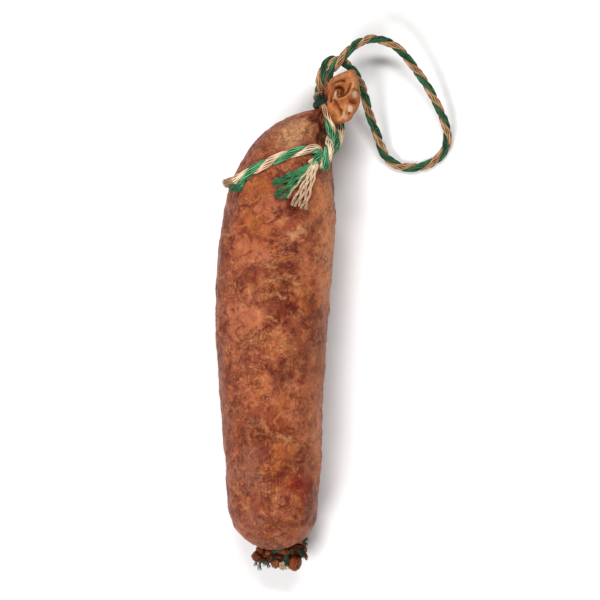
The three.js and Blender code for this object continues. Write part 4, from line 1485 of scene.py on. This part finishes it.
# %% Merged lobes
def ball_rings(x, y, z, rx, ry, rz, turn, rings=24, around=48):
    """Points over a ball pulled out of round and turned about z, ring by ring."""
    lat = np.linspace(0, np.pi, rings + 1)[1:-1, None]
    lon = np.linspace(0, 2 * np.pi, around, endpoint=False)[None, :]
    u, v = rx * np.sin(lat) * np.cos(lon), ry * np.sin(lat) * np.sin(lon)
    c, s = math.cos(math.radians(turn)), math.sin(math.radians(turn))
    return np.stack([x + u * c - v * s, y + u * s + v * c, z + rz * np.cos(lat) + 0 * lon], axis=-1)


def lobed_skin(name, lobes, voxel):
    """Balls merged into one skin by a voxel remesh."""
    points, faces, first = [], [], 0
    for lobe in lobes:
        rings = ball_rings(*lobe)
        cells = first + np.arange(rings[..., 0].size).reshape(rings.shape[:2])
        nxt = np.roll(cells, -1, axis=1)
        quads = np.stack([cells[:-1], nxt[:-1], nxt[1:], cells[1:]], axis=-1).reshape(-1, 4)
        faces += quads.tolist() + [cells[0].tolist(), cells[-1][::-1].tolist()]
        points.append(rings.reshape(-1, 3))
        first += cells.size
    mesh = bpy.data.meshes.new(name)
    mesh.from_pydata((np.vstack(points) * MM).tolist(), [], faces)
    guide = bpy.data.objects.new(name, mesh)
    scene.collection.objects.link(guide)
    merge = guide.modifiers.new("merge", "REMESH")
    merge.mode, merge.voxel_size = "VOXEL", voxel * MM
    graph = bpy.context.evaluated_depsgraph_get()
    skin = bpy.data.meshes.new_from_object(guide.evaluated_get(graph), depsgraph=graph)
    bpy.data.objects.remove(guide)
    return skin


def valley(points, lobes, wide=0.2):
    """1 where the surface of a second lobe is near, and 0 on open lobes."""
    far = []
    for x, y, z, rx, ry, rz, turn in lobes:
        c, s = math.cos(math.radians(turn)), math.sin(math.radians(turn))
        dx, dy = points[:, 0] - x, points[:, 1] - y
        u, v, w = (dx * c + dy * s) / rx, (dy * c - dx * s) / ry, (points[:, 2] - z) / rz
        far.append(np.abs(np.sqrt(u * u + v * v + w * w) - 1))
    second = np.sort(np.array(far), axis=0)[1]
    return np.exp(-((second / wide) ** 2))


def pleated(points):
    """Winding pleats everywhere and even ones on the largest lobe: 1 in a pleat."""
    pleats = winding_ridges(points * np.array([1.0, 0.3, 0.5]), 1.6, 0.12, 2, 4.0)
    across = points[:, 0] + 0.5 * lumps(points, 2.5, 2, 1.0)
    stripes = (0.5 + 0.5 * np.cos(2 * np.pi * across / PLEAT_SPACING)) ** 2
    right = np.clip((points[:, 0] - PLEATED_FROM[0]) / 1.5, 0, 1)
    below = np.clip((PLEATED_FROM[1] - points[:, 1]) / 1.5, 0, 1)
    return np.maximum(pleats, 0.7 * stripes * right * below)


def mesh_numbers(mesh, what):
    """A vector of each point of a mesh, as an array."""
    numbers = np.zeros(len(mesh.vertices) * 3)
    mesh.vertices.foreach_get(what, numbers)
    return numbers.reshape(-1, 3)


gather_mesh = lobed_skin("gather", LOBES, GATHER_VOXEL)
gather_points, gather_normals = mesh_numbers(gather_mesh, "co") / MM, mesh_numbers(gather_mesh, "normal")
valleys = valley(gather_points, LOBES)
pleats = pleated(gather_points)
gather_height = 0.5 * lumps(gather_points, 2.6, 3, 4.0) - 0.3 * pleats - 0.4 * valleys
gather_points = gather_points + gather_normals * gather_height[:, None]
gather_mesh.vertices.foreach_set("co", (gather_points * MM).ravel())
gather_mesh.update()
gather_mesh.materials.clear()
gather_mesh.materials.append(
    casing_finish("gathered_casing", GATHER_STAINS, 2.4, 17.0, GATHER_SHADES, 0.6)
)
gather_mesh.polygons.foreach_set("use_smooth", [True] * len(gather_mesh.polygons))
# `sunk` is painted shade in the valleys and pleats, and the zone gives a few pale threads, partly
# painted glints.
paint(gather_mesh, sunk=np.maximum(valleys, 0.6 * pleats), zone=np.full(len(valleys), GATHER_ZONE))
gather = bpy.data.objects.new("casing_gather", gather_mesh)
scene.collection.objects.link(gather)
dress(gather, "casing", "sausage")
print("casing_gather:", len(gather_mesh.polygons), "faces")
